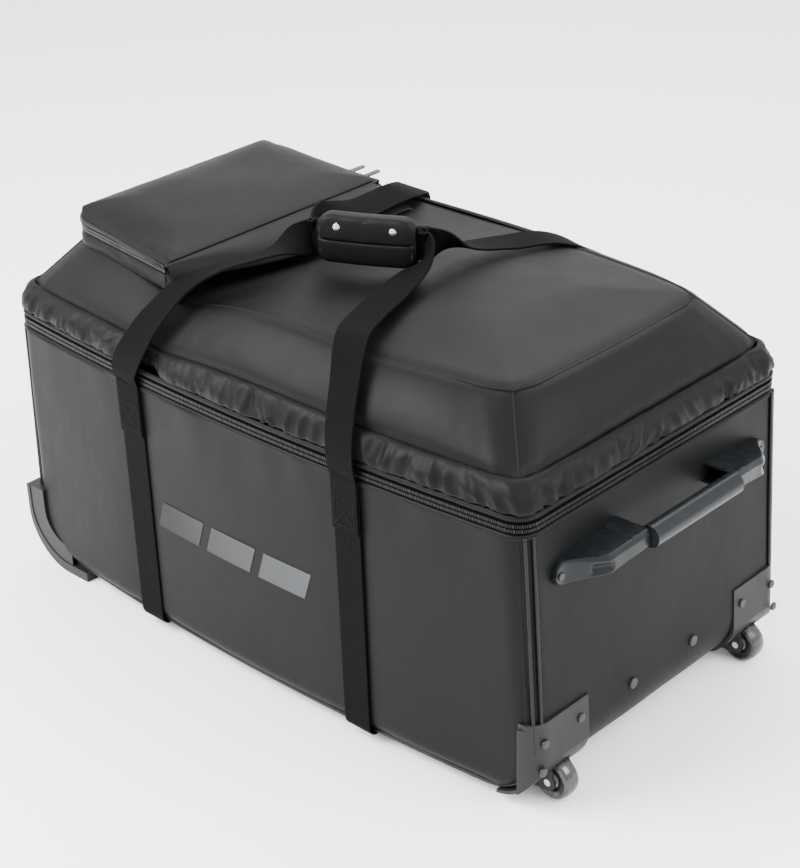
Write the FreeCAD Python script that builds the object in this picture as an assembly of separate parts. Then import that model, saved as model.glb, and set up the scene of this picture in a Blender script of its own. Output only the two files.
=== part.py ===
import FreeCAD, Part
import math
import os
from FreeCAD import Vector

# ---------------------------------------------------------------- driving dimensions (mm)
# Bag coordinates: X along the bag with the wheels at +X, -Y is the front, Z up from the bag's base.
ZIP_LENGTH = 800.0            # length at the main zip
BASE_LENGTH = 830.0           # length at the base, the ends lean in as they rise
WIDTH = 440.0                 # width at the corners
SIDE_BULGE = 22.0             # how far the long sides swell out half way along
CORNER_R = 25.0               # vertical corners
BASE_CORNER_R = 65.0          # rounding between the base and each end
WALL = 4.0                    # padded fabric
ZIP_Z = 328.0                 # middle of the main zip
ZIP_HALF_BAND = 9.0           # half the height of the zip band
ZIP_SPLIT = 0.4               # half the gap between the two halves of the zip
TEETH_HEIGHT = 3.0
TEETH_PROUD = 2.5
TAPE = 2.5
BODY_TOP_Z = ZIP_Z - ZIP_HALF_BAND

GUSSET_TOP_Z = 376.0
GUSSET_INSET = 9.5
LID_TOP_Z = 439.0
LID_TOP_INSET = 63.0

POCKET_X = (-345.0, -142.0)   # far side and hinge side
POCKET_Y = (-166.0, 150.0)
POCKET_FLARE = 26.0           # how much further forward it reaches at its hinge
POCKET_TOP_Z = 464.0
POCKET_SPLIT_Z = 450.0        # the pocket's zip
POCKET_R = 30.0
POCKET_SKIN = 3.0
RAMP_FOOT_X = -80.0

WEB_WIDTH = 38.0
WEB = 2.4
STRAP_X = (-169.0, 177.0)
LOOP_FOOT_Z = BODY_TOP_Z + 3.5

GRIP_CENTRE = Vector(9, -22, 472)
GRIP_TURN = 26.0              # degrees from X towards the back
GRIP_SIZE = (116.0, 18.0, 54.0)
GRIP_SLOT = (7.0, 50.8)
SNAP_R = 6.5
SNAP_THICK = 2.6
SNAP_OFFSET = 33.0

WHEEL_R = 24.0
WHEEL_WIDTH = 22.0
WHEEL_X = 404.0
WHEEL_Y = 170.0
WHEEL_Z = 11.0
HUB_R = 15.0
BEARING_R = 9.0
AXLE_R = 4.0
RUNNING = 0.05                # radial clearance of the bearing on the axle
ARCH_R = WHEEL_R + 2.5
ARCH_HALF = WHEEL_WIDTH / 2 + 1.5

BRACKET_Y = (131.0, 224.0)
BRACKET_TOP_Z = 100.0
BRACKET_FOOT_X = 362.0
BRACKET_LAP_X = 394.0         # how far round the corner it laps
BRACKET_THICK = 4.0
CHEEK = 3.5

BAR_X = 445.0
BAR_Z = 276.0
BAR_R = 12.5
BAR_HALF = 74.0
FAIRING_TIP_Y = 181.0
FAIRING_TIP_R = 14.0
TIP_Z = 262.0
PANEL_X_AT_BAR = 402.4        # outer face of the wheel end at the bar's height

GUARD_X = -314.0              # where the corner guard ends under the bag
GUARD_Z = 92.0
FOOT = WHEEL_R - WHEEL_Z      # the bag's base stands this far above the floor
GUARD_FLANGE_Y = 150.0
GUARD_BEAD_Y = 196.0
GUARD_SIDE = 26.0
GUARD_SLIM = 6.0              # how far the bead stands out beyond the end panel

TUBE_Y = 54.0
TUBE_Z = 73.0
OUTER_TUBE_R = 9.0
OUTER_TUBE_WALL = 1.2
INNER_TUBE_R = 7.0
INNER_TUBE_WALL = 1.2
OUTER_TUBE_X = (-380.0, 404.0)
INNER_TUBE_X = (-404.0, 110.0)
BOLT_HEAD_R = 6.5
BOLT_R = 3.0
CUP_Y = 88.0
CUP_Z = (50.0, 110.0)
CUP_BACK_X = -383.0
CUP_MOUTH_X = -413.5
CUP_SKIN = 2.5
CUP_FLANGE = 7.0
TROLLEY_GRIP_X = (-426.0, -404.0)
TROLLEY_GRIP_Y = 80.0
TROLLEY_GRIP_Z = (62.0, 84.0)
BUTTON = (4.0, 34.0, 10.0)    # travel, length, height

SLIDER_Y = (-14.0, 14.0)      # the main zip's two sliders, at the end away from the wheels
POCKET_SLIDER_X = (-200.0, -174.0)

# The row's origin is the middle of the whole object's footprint, on the floor.
ROW_SHIFT = Vector((BASE_LENGTH / 2 + FOOT - BAR_X - BAR_R) / 2, 0, FOOT)

FAR = 600.0                   # longer than the bag, for cutting blocks


# ---------------------------------------------------------------- shape helpers
def box(x, y, z):
    """A box from its three ranges."""
    return Part.makeBox(x[1] - x[0], y[1] - y[0], z[1] - z[0], Vector(x[0], y[0], z[0]))


def rod(start, axis, radius, length):
    """A round bar from a point along an axis."""
    return Part.makeCylinder(radius, length, start, axis)


def tube(start, axis, radius, wall, length):
    """A round tube from a point along an axis."""
    return rod(start, axis, radius, length).cut(rod(start, axis, radius - wall, length))


def prism(points, direction):
    """A flat outline pushed along a direction."""
    return Part.Face(Part.makePolygon(points + points[:1])).extrude(direction)


def rounded_box(x, y, z, radius):
    """A box with its vertical edges rounded."""
    block = box(x, y, z)
    upright = [e for e in block.Edges if abs(e.tangentAt(e.FirstParameter).z) > 0.9]
    return block.makeFillet(radius, upright)


def both_sides(shape):
    """A shape and its mirror image across the bag's middle."""
    return [shape, shape.mirror(Vector(0, 0, 0), Vector(0, 1, 0))]


def group(shapes):
    """Separate solids that are kept in one node."""
    return Part.makeCompound([solid for shape in shapes for solid in shape.Solids])


def outline(half_length, half_width, bulge, corner, z):
    """The bag seen from above: long sides swollen, corners rounded."""
    lx = half_length - corner
    ly = half_width - corner
    diagonal = corner * math.sqrt(0.5)
    edges = []
    for turn in (1, -1):
        # One long side, one corner, one end and the next corner, then the same turned by half a turn.
        start = Vector(-lx * turn, -half_width * turn, z)
        middle = Vector(0, -(half_width + bulge) * turn, z)
        end = Vector(lx * turn, -half_width * turn, z)
        edges.append(Part.Arc(start, middle, end).toShape())
        near = Vector((lx + diagonal) * turn, -(ly + diagonal) * turn, z)
        end_low = Vector(half_length * turn, -ly * turn, z)
        edges.append(Part.Arc(end, near, end_low).toShape())
        end_high = Vector(half_length * turn, ly * turn, z)
        edges.append(Part.makeLine(end_low, end_high))
        far = Vector((lx + diagonal) * turn, (ly + diagonal) * turn, z)
        edges.append(Part.Arc(end_high, far, Vector(lx * turn, half_width * turn, z)).toShape())
    return Part.Wire(edges)


def base_profile(grow):
    """The bag seen from the front, with its rounded base corners, as a block across the width."""
    centre_x = BASE_LENGTH / 2 - BASE_CORNER_R
    radius = BASE_CORNER_R + grow
    diagonal = radius * math.sqrt(0.5)
    top = GUSSET_TOP_Z
    left = -centre_x - radius
    edges = [
        Part.makeLine(Vector(left, -FAR, top), Vector(left, -FAR, BASE_CORNER_R)),
        Part.Arc(
            Vector(left, -FAR, BASE_CORNER_R),
            Vector(-centre_x - diagonal, -FAR, BASE_CORNER_R - diagonal),
            Vector(-centre_x, -FAR, -grow),
        ).toShape(),
        Part.makeLine(Vector(-centre_x, -FAR, -grow), Vector(centre_x, -FAR, -grow)),
        Part.Arc(
            Vector(centre_x, -FAR, -grow),
            Vector(centre_x + diagonal, -FAR, BASE_CORNER_R - diagonal),
            Vector(-left, -FAR, BASE_CORNER_R),
        ).toShape(),
        Part.makeLine(Vector(-left, -FAR, BASE_CORNER_R), Vector(-left, -FAR, top)),
        Part.makeLine(Vector(-left, -FAR, top), Vector(left, -FAR, top)),
    ]
    return Part.Face(Part.Wire(edges)).extrude(Vector(0, 2 * FAR, 0))


def body_block(grow):
    """The lower half of the bag as one block, grown or shrunk by an even thickness."""
    low = outline(BASE_LENGTH / 2 + grow, WIDTH / 2 + grow, SIDE_BULGE, CORNER_R + grow, -grow)
    high = outline(ZIP_LENGTH / 2 + grow, WIDTH / 2 + grow, SIDE_BULGE, CORNER_R + grow, ZIP_Z)
    return Part.makeLoft([low, high], True, True).common(base_profile(grow))


def body_shell(inner, outer):
    """An even skin between two growths of the lower half."""
    return body_block(outer).cut(body_block(inner))


def lid_block(grow):
    """The lid as one block: an upright gusset, then slopes up to the flat top."""
    bottom = BODY_TOP_Z + 2 * ZIP_HALF_BAND
    sections = [
        outline(ZIP_LENGTH / 2 + grow, WIDTH / 2 + grow, SIDE_BULGE, CORNER_R + grow, bottom),
        outline(
            ZIP_LENGTH / 2 - GUSSET_INSET + grow,
            WIDTH / 2 - GUSSET_INSET + grow,
            SIDE_BULGE - 4,
            CORNER_R + grow,
            GUSSET_TOP_Z,
        ),
        outline(
            ZIP_LENGTH / 2 - LID_TOP_INSET + grow,
            WIDTH / 2 - LID_TOP_INSET + grow,
            SIDE_BULGE / 2,
            CORNER_R + grow,
            LID_TOP_Z + grow,
        ),
    ]
    return Part.makeLoft(sections, True, True)


def ring(inner, outer, low, high):
    """A band round the bag at the zip line, between two growths and two heights."""
    walls = []
    for grow in (outer, inner):
        wire = outline(ZIP_LENGTH / 2 + grow, WIDTH / 2 + grow, SIDE_BULGE, CORNER_R + grow, low)
        walls.append(Part.Face(wire).extrude(Vector(0, 0, high - low)))
    return walls[0].cut(walls[1])


def sector(side):
    """The block that belongs to one side of the bag, cut at 45 degrees through the corners."""
    x, y = ZIP_LENGTH / 2, WIDTH / 2
    out = 60.0
    plans = {
        "front": [(-x - out, -y - out), (x + out, -y - out), (x - y, 0), (y - x, 0)],
        "back": [(x + out, y + out), (-x - out, y + out), (y - x, 0), (x - y, 0)],
        "wheel_end": [(x + out, -y - out), (x + out, y + out), (x - y, 0)],
        "far_end": [(-x - out, y + out), (-x - out, -y - out), (y - x, 0)],
    }
    points = [Vector(px, py, -100) for px, py in plans[side]]
    return prism(points, Vector(0, 0, FAR))


def slab(low, high):
    """Everything between two heights."""
    return box((-FAR, FAR), (-FAR, FAR), (low, high))


def ribbon(centres, width_directions, width, thickness):
    """Flat webbing through a row of centres, each with the direction of its width."""
    sections = []
    for i, centre in enumerate(centres):
        before = centres[max(i - 1, 0)]
        after = centres[min(i + 1, len(centres) - 1)]
        along = after.sub(before).normalize()
        across = width_directions[i].sub(along * width_directions[i].dot(along)).normalize()
        normal = along.cross(across).normalize()
        w = across * (width / 2)
        t = normal * (thickness / 2)
        sections.append([centre + w + t, centre - w + t, centre - w - t, centre + w - t])
    triangles = []
    for near, far in zip(sections, sections[1:]):
        for i in range(4):
            j = (i + 1) % 4
            triangles += [(near[i], near[j], far[j]), (near[i], far[j], far[i])]
    for a, b, c, d in (sections[0], sections[-1]):
        triangles += [(a, b, c), (a, c, d)]
    faces = [Part.Face(Part.makePolygon([a, b, c, a])) for a, b, c in triangles]
    solid = Part.Solid(Part.makeShell(faces))
    if solid.Volume < 0:
        solid.reverse()
    return solid


# ---------------------------------------------------------------- the bag's soft shell
def wheel_arches():
    """The two round hollows that the wheels turn in."""
    start = Vector(WHEEL_X, WHEEL_Y - ARCH_HALF, WHEEL_Z)
    return group(both_sides(rod(start, Vector(0, 1, 0), ARCH_R, 2 * ARCH_HALF)))


def arch_liners():
    """The outside of the moulded liners round the wheel hollows."""
    start = Vector(WHEEL_X, WHEEL_Y - ARCH_HALF - CHEEK, WHEEL_Z)
    length = 2 * (ARCH_HALF + CHEEK)
    return group(both_sides(rod(start, Vector(0, 1, 0), ARCH_R + CHEEK, length)))


def wall_panel(side):
    """One upright wall of the lower half."""
    shell = body_shell(-WALL, 0).common(slab(WALL, BODY_TOP_Z)).common(sector(side))
    return shell.cut(arch_liners())


def wheel_end_panel():
    """The wall at the wheels, with holes for the two tube bolts."""
    panel = wall_panel("wheel_end")
    for y in (-TUBE_Y, TUBE_Y):
        panel = panel.cut(rod(Vector(380, y, TUBE_Z), Vector(1, 0, 0), BOLT_R, 60))
    return panel


def far_end_panel():
    """The wall away from the wheels, with the window for the handle cup."""
    edge = 0.5
    window = box(
        (-FAR, -350), (-CUP_Y - edge, CUP_Y + edge), (CUP_Z[0] - edge, CUP_Z[1] + edge)
    )
    return wall_panel("far_end").cut(window)


def base_panel():
    """The flat bottom."""
    return body_shell(-WALL, 0).common(slab(-1, WALL)).cut(arch_liners())


def base_board():
    """The stiff sheet that lies on the bottom."""
    thick = 3.0
    edge = 20.0
    x = BASE_LENGTH / 2 - BASE_CORNER_R - 2.0
    y = WIDTH / 2 - edge
    board = box((-x, x), (-y, y), (WALL, WALL + thick))
    return board.cut(arch_liners())


def wheel_end_board():
    """The stiff sheet behind the wheel end, which the fairings and the tubes are screwed to."""
    thick = 3.0
    skin = body_shell(-WALL - thick, -WALL).common(slab(WALL + 72, BODY_TOP_Z - 20))
    board = skin.common(box((350, FAR), (-WIDTH / 2 + 35, WIDTH / 2 - 35), (0, FAR)))
    for y in (-TUBE_Y, TUBE_Y):
        board = board.cut(rod(Vector(380, y, TUBE_Z), Vector(1, 0, 0), BOLT_R, 60))
    return board


def corner_piping():
    """Two beads down each upright corner."""
    bead = 2.2
    low, high = BASE_CORNER_R, BODY_TOP_Z - 1
    beads = []
    for side in (-1, 1):
        for offset in (0.0, 5.6):
            def at(z):
                lean = (BASE_LENGTH - ZIP_LENGTH) / 2 * (1 - z / ZIP_Z)
                x = ZIP_LENGTH / 2 + lean + bead + 0.2
                return Vector(side * x, -WIDTH / 2 + CORNER_R + offset, z)
            axis = at(high) - at(low)
            beads += both_sides(rod(at(low + 45), axis, bead, axis.Length - 46))
    return group(beads)


def lower_zip():
    """The fixed half of the main zip: tape and teeth round the front and both ends."""
    top = ZIP_Z - ZIP_SPLIT
    parts = []
    for side in ("front", "wheel_end", "far_end"):
        cut = sector(side)
        parts.append(ring(-TAPE, 0, BODY_TOP_Z, top).common(cut))
        parts.append(ring(0, TEETH_PROUD, top - TEETH_HEIGHT, top).common(cut))
    return group(parts)


def lid_hinge_strip():
    """The doubled fabric that the lid folds on, along the back."""
    return ring(-TAPE, 0, BODY_TOP_Z, ZIP_Z - ZIP_SPLIT).common(sector("back"))


def body_strap(x):
    """Webbing sewn down the front, under the base and up the back."""
    skin = body_shell(0, WEB)
    reach = (x - WEB_WIDTH / 2, x + WEB_WIDTH / 2)
    return skin.common(box(reach, (-FAR, FAR), (-10, BODY_TOP_Z)))


# ---------------------------------------------------------------- wheels and their brackets
def wheel_bracket():
    """The front wheel's moulded bracket: end plate lapping the corner, arch liner and two lugs."""
    y = (-BRACKET_Y[1], -BRACKET_Y[0])
    lap = (-BRACKET_Y[1], -WIDTH / 2 + 1)
    skin = body_shell(0, BRACKET_THICK)
    plate = skin.common(box((BRACKET_FOOT_X, FAR), (lap[1], y[1]), (-20, BRACKET_TOP_Z)))
    plate = plate.fuse(skin.common(box((BRACKET_LAP_X, FAR), lap, (-20, BRACKET_TOP_Z - 6))))
    liner_start = Vector(WHEEL_X, -WHEEL_Y - ARCH_HALF - CHEEK, WHEEL_Z)
    liner = rod(liner_start, Vector(0, 1, 0), ARCH_R + CHEEK, 2 * (ARCH_HALF + CHEEK))
    liner = liner.common(body_block(0))
    solid = plate.fuse(liner)
    for low in (-WHEEL_Y - ARCH_HALF - CHEEK, -WHEEL_Y + ARCH_HALF):
        points = [(384, 0), (401, 0.5), (412, 9), (410, 24), (405, 32), (384, 32)]
        lug = prism([Vector(px, low, pz) for px, pz in points], Vector(0, CHEEK, 0))
        boss = rod(Vector(WHEEL_X, low, WHEEL_Z), Vector(0, 1, 0), 9.5, CHEEK)
        solid = solid.fuse(lug.fuse(boss).cut(body_block(0.02)))
    arch = rod(
        Vector(WHEEL_X, -WHEEL_Y - ARCH_HALF, WHEEL_Z), Vector(0, 1, 0), ARCH_R, 2 * ARCH_HALF
    )
    bore = rod(Vector(WHEEL_X, -WHEEL_Y - 40, WHEEL_Z), Vector(0, 1, 0), AXLE_R, 80)
    return solid.cut(arch).cut(bore).removeSplitter()


def bracket_fasteners():
    """Three domed rivets on each bracket, two above and one low at the outside."""
    rivets = []
    for y, z in ((-203, 76), (-145, 78), (-208, 44)):
        lean = (BASE_LENGTH - ZIP_LENGTH) / 2 * z / ZIP_Z
        face = BASE_LENGTH / 2 + BRACKET_THICK - lean
        head = rod(Vector(face + 0.1, y, z), Vector(1, 0, 0), 5.2, 2.6)
        head = head.makeFillet(1.6, [head.Edges[0]])
        rivets += both_sides(head)
    return group(rivets)


def wheel_axles():
    """One steel pin through each wheel."""
    length = 2 * (ARCH_HALF + CHEEK)
    start = Vector(WHEEL_X, -WHEEL_Y - length / 2, WHEEL_Z)
    return group(both_sides(rod(start, Vector(0, 1, 0), AXLE_R, length)))


def turned(profile, y):
    """A wheel piece spun from half its section, given as radius and place across the wheel."""
    centre = Vector(WHEEL_X, y, WHEEL_Z)
    points = [centre + Vector(r, a, 0) for r, a in profile]
    face = Part.Face(Part.makePolygon(points + points[:1]))
    return face.revolve(centre, Vector(0, 1, 0), 360)


def tyre(y):
    """A crowned tyre with eased shoulders."""
    half = WHEEL_WIDTH / 2
    crown = [(WHEEL_R - 5.0, -half), (WHEEL_R - 2.2, -half + 1.2), (WHEEL_R - 0.7, -half + 4.2)]
    crown += [(WHEEL_R, -1.5), (WHEEL_R, 1.5)]
    crown += [(r, -a) for r, a in reversed(crown[:3])]
    return turned([(HUB_R, -half + 2)] + crown + [(HUB_R, half - 2)], y)


def hub(y):
    """The moulded hub between tyre and bearing."""
    half = WHEEL_WIDTH / 2 - 2
    dish = 3.5
    profile = [(BEARING_R, -half + 1), (BEARING_R + 1.5, -half + 1), (BEARING_R + 1.5, -half + dish)]
    profile += [(HUB_R - 2, -half + dish), (HUB_R - 2, -half), (HUB_R, -half)]
    return turned(profile + [(r, -a) for r, a in reversed(profile)], y)


def bearing(y):
    """The sealed bearing, which runs on the axle."""
    half = WHEEL_WIDTH / 2 - 3
    inner = AXLE_R + RUNNING
    return turned([(inner, -half), (BEARING_R, -half), (BEARING_R, half), (inner, half)], y)


# ---------------------------------------------------------------- pull handle at the wheels
def fairing_section(y, reach, low, high):
    """A section of the fairing with eased outer corners, square to the bag's width."""
    r = min(reach, high - low) * 0.16
    back = PANEL_X_AT_BAR + 0.6
    front = back + reach
    k = r * (1 - math.sqrt(0.5))
    edges = [
        Part.makeLine(Vector(back, y, low), Vector(front - r, y, low)),
        Part.Arc(Vector(front - r, y, low), Vector(front - k, y, low + k), Vector(front, y, low + r)).toShape(),
        Part.makeLine(Vector(front, y, low + r), Vector(front, y, high - r)),
        Part.Arc(Vector(front, y, high - r), Vector(front - k, y, high - k), Vector(front - r, y, high)).toShape(),
        Part.makeLine(Vector(front - r, y, high), Vector(back, y, high)),
        Part.makeLine(Vector(back, y, high), Vector(back, y, low)),
    ]
    return Part.Wire(edges)


def handle_fairing():
    """The front moulding that carries the bar: a round tip that turns out and along to the bar."""
    sections = [
        fairing_section(-FAIRING_TIP_Y + FAIRING_TIP_R, 7.5, TIP_Z - FAIRING_TIP_R, TIP_Z + FAIRING_TIP_R),
        fairing_section(-130, 41, 254, 282),
        fairing_section(-104, 50, 258, 286),
        fairing_section(-BAR_HALF, 55, 261, 290),
    ]
    solid = Part.makeLoft(sections, True, True)
    back = PANEL_X_AT_BAR + 0.6
    tip = rod(Vector(back, -FAIRING_TIP_Y + FAIRING_TIP_R, TIP_Z), Vector(1, 0, 0), FAIRING_TIP_R, 7.5)
    hollow = box((PANEL_X_AT_BAR - 5, BAR_X - BAR_R - 1.5), (-108, -60), (265, 282))
    scoop = box((back + 8, BAR_X + 20), (-157, -132), (256, 269))
    panel = body_block(0.0)
    return solid.fuse(tip).cut(hollow).cut(scoop).cut(panel).removeSplitter()


def pull_bar():
    """The round bar between the two fairings."""
    return rod(Vector(BAR_X, -BAR_HALF, BAR_Z), Vector(0, 1, 0), BAR_R, 2 * BAR_HALF)


def fairing_screws():
    """One pan screw on each fairing's tip."""
    face = PANEL_X_AT_BAR + 8.1
    head = rod(Vector(face, -FAIRING_TIP_Y + FAIRING_TIP_R - 6, TIP_Z), Vector(1, 0, 0), 4.5, 2.4)
    head = head.makeFillet(0.9, [head.Edges[0]])
    return group(both_sides(head))


# ---------------------------------------------------------------- corner guards away from the wheels
def corner_guard():
    """The front guard: a thick bead round the base corner, a thin flange and a side flange."""
    def band(grow):
        return base_profile(grow).cut(base_profile(0)).common(zone)
    zone = box((-FAR, GUARD_X), (-WIDTH / 2 - 6, -GUARD_FLANGE_Y), (-FOOT - 1, GUARD_Z))
    lean = body_block(0)
    flange = band(4.0)
    slim = base_profile(GUARD_SLIM).translated(Vector(0, 0, GUARD_SLIM - FOOT))
    bead = band(FOOT).common(box((-FAR, 0), (-WIDTH / 2 - 6, -GUARD_BEAD_Y), (-FAR, FAR))).common(slim)
    side = base_profile(FOOT - 4).cut(base_profile(-GUARD_SIDE)).common(zone).common(slim)
    side = side.common(box((-FAR, 0), (-WIDTH / 2 - 5, -WIDTH / 2 + 24), (-FAR, FAR)))
    return flange.fuse(bead).fuse(side).cut(lean).removeSplitter()


# ---------------------------------------------------------------- telescopic handle
def trolley_outer_tubes():
    """Two fixed tubes the length of the bag."""
    start = Vector(OUTER_TUBE_X[0], TUBE_Y, TUBE_Z)
    length = OUTER_TUBE_X[1] - OUTER_TUBE_X[0]
    return group(both_sides(tube(start, Vector(1, 0, 0), OUTER_TUBE_R, OUTER_TUBE_WALL, length)))


def tube_plugs():
    """A threaded plug in the wheel end of each tube."""
    depth = 26.0
    start = Vector(OUTER_TUBE_X[1] - depth, TUBE_Y, TUBE_Z)
    radius = OUTER_TUBE_R - OUTER_TUBE_WALL
    plug = rod(start, Vector(1, 0, 0), radius, depth)
    return group(both_sides(plug.cut(rod(start, Vector(1, 0, 0), BOLT_R, depth))))


def tube_bolts():
    """The bolt through the wheel end into each tube."""
    lean = (BASE_LENGTH - ZIP_LENGTH) / 2 * TUBE_Z / ZIP_Z
    face = BASE_LENGTH / 2 - lean
    head = rod(Vector(face + 0.4, TUBE_Y, TUBE_Z), Vector(1, 0, 0), BOLT_HEAD_R, 4.5)
    head = head.makeFillet(1.8, [head.Edges[0]])
    shank = rod(Vector(face - 28, TUBE_Y, TUBE_Z), Vector(1, 0, 0), BOLT_R - 0.1, 30)
    return group(both_sides(head.fuse(shank).removeSplitter()))


def trolley_cup():
    """The moulded recess in the far end that the grip parks in."""
    y = (-CUP_Y, CUP_Y)
    outside = box((CUP_MOUTH_X, CUP_BACK_X), y, CUP_Z)
    rim = box(
        (CUP_MOUTH_X - 3, CUP_MOUTH_X),
        (y[0] - CUP_FLANGE, y[1] + CUP_FLANGE),
        (CUP_Z[0] - CUP_FLANGE, CUP_Z[1] + CUP_FLANGE),
    )
    inside = box(
        (CUP_MOUTH_X - 5, CUP_BACK_X - CUP_SKIN),
        (y[0] + CUP_SKIN, y[1] - CUP_SKIN),
        (CUP_Z[0] + CUP_SKIN, CUP_Z[1] - CUP_SKIN),
    )
    cup = outside.fuse(rim).cut(inside)
    for side in (-TUBE_Y, TUBE_Y):
        cup = cup.cut(rod(Vector(-420, side, TUBE_Z), Vector(1, 0, 0), INNER_TUBE_R + 0.4, 60))
    return cup.removeSplitter()


def handle_channel():
    """The folded sheet over the tubes, which keeps gear off them."""
    half = 74.0
    top = 88.0
    sheet = 2.0
    floor = WALL + 3.0
    x = (-352.0, 352.0)
    hood = box(x, (-half, half), (floor, top))
    hollow = box((x[0] - 1, x[1] + 1), (-half + sheet, half - sheet), (floor - 1, top - sheet))
    return hood.cut(hollow)


def trolley_inner_tubes():
    """The two tubes that slide out."""
    start = Vector(INNER_TUBE_X[0], TUBE_Y, TUBE_Z)
    length = INNER_TUBE_X[1] - INNER_TUBE_X[0]
    return group(both_sides(tube(start, Vector(1, 0, 0), INNER_TUBE_R, INNER_TUBE_WALL, length)))


def button_hole(grow):
    """The block that the release button fills, grown by a clearance."""
    length, height = BUTTON[1] / 2 + grow, BUTTON[2] / 2 + grow
    middle = sum(TROLLEY_GRIP_Z) / 2
    outer = TROLLEY_GRIP_X[0] - 2.0
    return box((outer, TROLLEY_GRIP_X[0] + 12), (-length, length), (middle - height, middle + height))


def trolley_grip():
    """The grip across the two sliding tubes."""
    bar = box(TROLLEY_GRIP_X, (-TROLLEY_GRIP_Y, TROLLEY_GRIP_Y), TROLLEY_GRIP_Z)
    along = [e for e in bar.Edges if abs(e.tangentAt(e.FirstParameter).y) > 0.9]
    bar = bar.makeFillet(6.0, along)
    hole = button_hole(0.4)
    hole = hole.fuse(hole.translated(Vector(5.0, 0, 0)))
    sockets = []
    for y in (-TUBE_Y, TUBE_Y):
        start = Vector(TROLLEY_GRIP_X[1], y, TUBE_Z)
        sockets.append(rod(start, Vector(-1, 0, 0), 8.6, 4).cut(rod(start, Vector(-1, 0, 0), 8.6, 0.5)))
    solid = bar.cut(hole)
    for socket in sockets:
        solid = solid.fuse(socket)
    return solid.removeSplitter()


def trolley_button():
    """The release button in the middle of the grip."""
    return button_hole(0)


# ---------------------------------------------------------------- lid
def lid_shell():
    """The lid's padded skin, without its top."""
    return lid_block(0).cut(lid_block(-WALL))


def lid_gusset():
    """The upright band above the zip."""
    return lid_shell().common(slab(BODY_TOP_Z, GUSSET_TOP_Z))


def lid_slope(side):
    """One sloping panel between gusset and top."""
    return lid_shell().common(slab(GUSSET_TOP_Z, LID_TOP_Z - WALL)).common(sector(side))


def lid_top_panel():
    """The flat top of the lid."""
    return lid_block(0).common(slab(LID_TOP_Z - WALL, LID_TOP_Z + 1))


def upper_zip():
    """The lid's half of the main zip, with a plain facing along the back."""
    low = ZIP_Z + ZIP_SPLIT
    high = ZIP_Z + ZIP_HALF_BAND
    teeth = ring(0, TEETH_PROUD, low, low + TEETH_HEIGHT).cut(sector("back"))
    return group([ring(-TAPE, 0, low, high), teeth])


# ---------------------------------------------------------------- pocket on the lid
def pocket_block(inset):
    """The pocket as one block, open towards its ramp."""
    corners = [
        Vector(POCKET_X[0], POCKET_Y[0], 380),
        Vector(POCKET_X[1], POCKET_Y[0] - POCKET_FLARE, 380),
        Vector(RAMP_FOOT_X + POCKET_R, POCKET_Y[0] - POCKET_FLARE, 380),
        Vector(RAMP_FOOT_X + POCKET_R, POCKET_Y[1], 380),
        Vector(POCKET_X[0], POCKET_Y[1], 380),
    ]
    line = Part.makePolygon(corners + corners[:1]).makeOffset2D(-POCKET_R)
    line = line.makeOffset2D(POCKET_R - inset)
    block = Part.Face(line).extrude(Vector(0, 0, POCKET_TOP_Z - 380))
    return block.common(box((-FAR, POCKET_X[1] - 1), (-FAR, FAR), (0, FAR)))


def pocket_wall(low, high):
    """The pocket's wall on three sides, between two heights."""
    wall = pocket_block(0).cut(pocket_block(POCKET_SKIN)).common(slab(low, high))
    return wall.cut(lid_block(0))


def pocket_ramp():
    """The fixed slope from the pocket's hinge seam down to the lid."""
    low = LID_TOP_Z - 14
    x0, x1, top = POCKET_X[1], RAMP_FOOT_X, POCKET_TOP_Z
    y = (POCKET_Y[0] - POCKET_FLARE, POCKET_Y[1])
    outer = [(x0, low), (x0, top), (x1, LID_TOP_Z + 1.5), (x1, low)]
    inner = [(x0 - 1, low - 1), (x0 - 1, top - 4), (x1 - 8, LID_TOP_Z + 1.5), (x1 - 8, low - 1)]
    block = prism([Vector(px, y[0], pz) for px, pz in outer], Vector(0, y[1] - y[0], 0))
    skin = POCKET_SKIN
    hollow = prism(
        [Vector(px, y[0] + skin, pz) for px, pz in inner], Vector(0, y[1] - y[0] - 2 * skin, 0)
    )
    cut_corner = [(x0 + 0.3, y[0]), (-138, -176), (-128, -150), (-108, -116), (-95, -84), (x1, -50)]
    plan = [(x0, y[0])] + cut_corner + [(x1, y[1]), (x0, y[1])]
    footprint = prism([Vector(px, py, low - 1) for px, py in plan], Vector(0, 0, top - low + 2))
    return block.cut(hollow).common(footprint).cut(lid_block(0))


def pocket_top_panel():
    """The pocket's flap, hinged along its seam with the ramp."""
    return pocket_block(0).common(slab(POCKET_TOP_Z - WALL, POCKET_TOP_Z + 1))


# ---------------------------------------------------------------- carrying handles
def grip_axes():
    """The grip's long direction and the direction that its front faces."""
    turn = math.radians(GRIP_TURN)
    return Vector(math.cos(turn), math.sin(turn), 0), Vector(math.sin(turn), -math.cos(turn), 0)


def placed_on_grip(shape):
    """Turn a shape made about the grip's own middle into its place."""
    shape.rotate(Vector(0, 0, 0), Vector(0, 0, 1), GRIP_TURN)
    shape.translate(GRIP_CENTRE)
    return shape


def grip_wrap():
    """The padded sleeve that holds both handles' webbing together."""
    length, thick, height = (size / 2 for size in GRIP_SIZE)
    block = box((-length, length), (-thick, thick), (-height, height))
    along = [e for e in block.Edges if abs(e.tangentAt(e.FirstParameter).x) > 0.9]
    block = block.makeFillet(6.0, along)
    slot = box((-FAR, FAR), (-GRIP_SLOT[0] / 2, GRIP_SLOT[0] / 2), (-GRIP_SLOT[1] / 2, GRIP_SLOT[1] / 2))
    return placed_on_grip(block.cut(slot))


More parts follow.
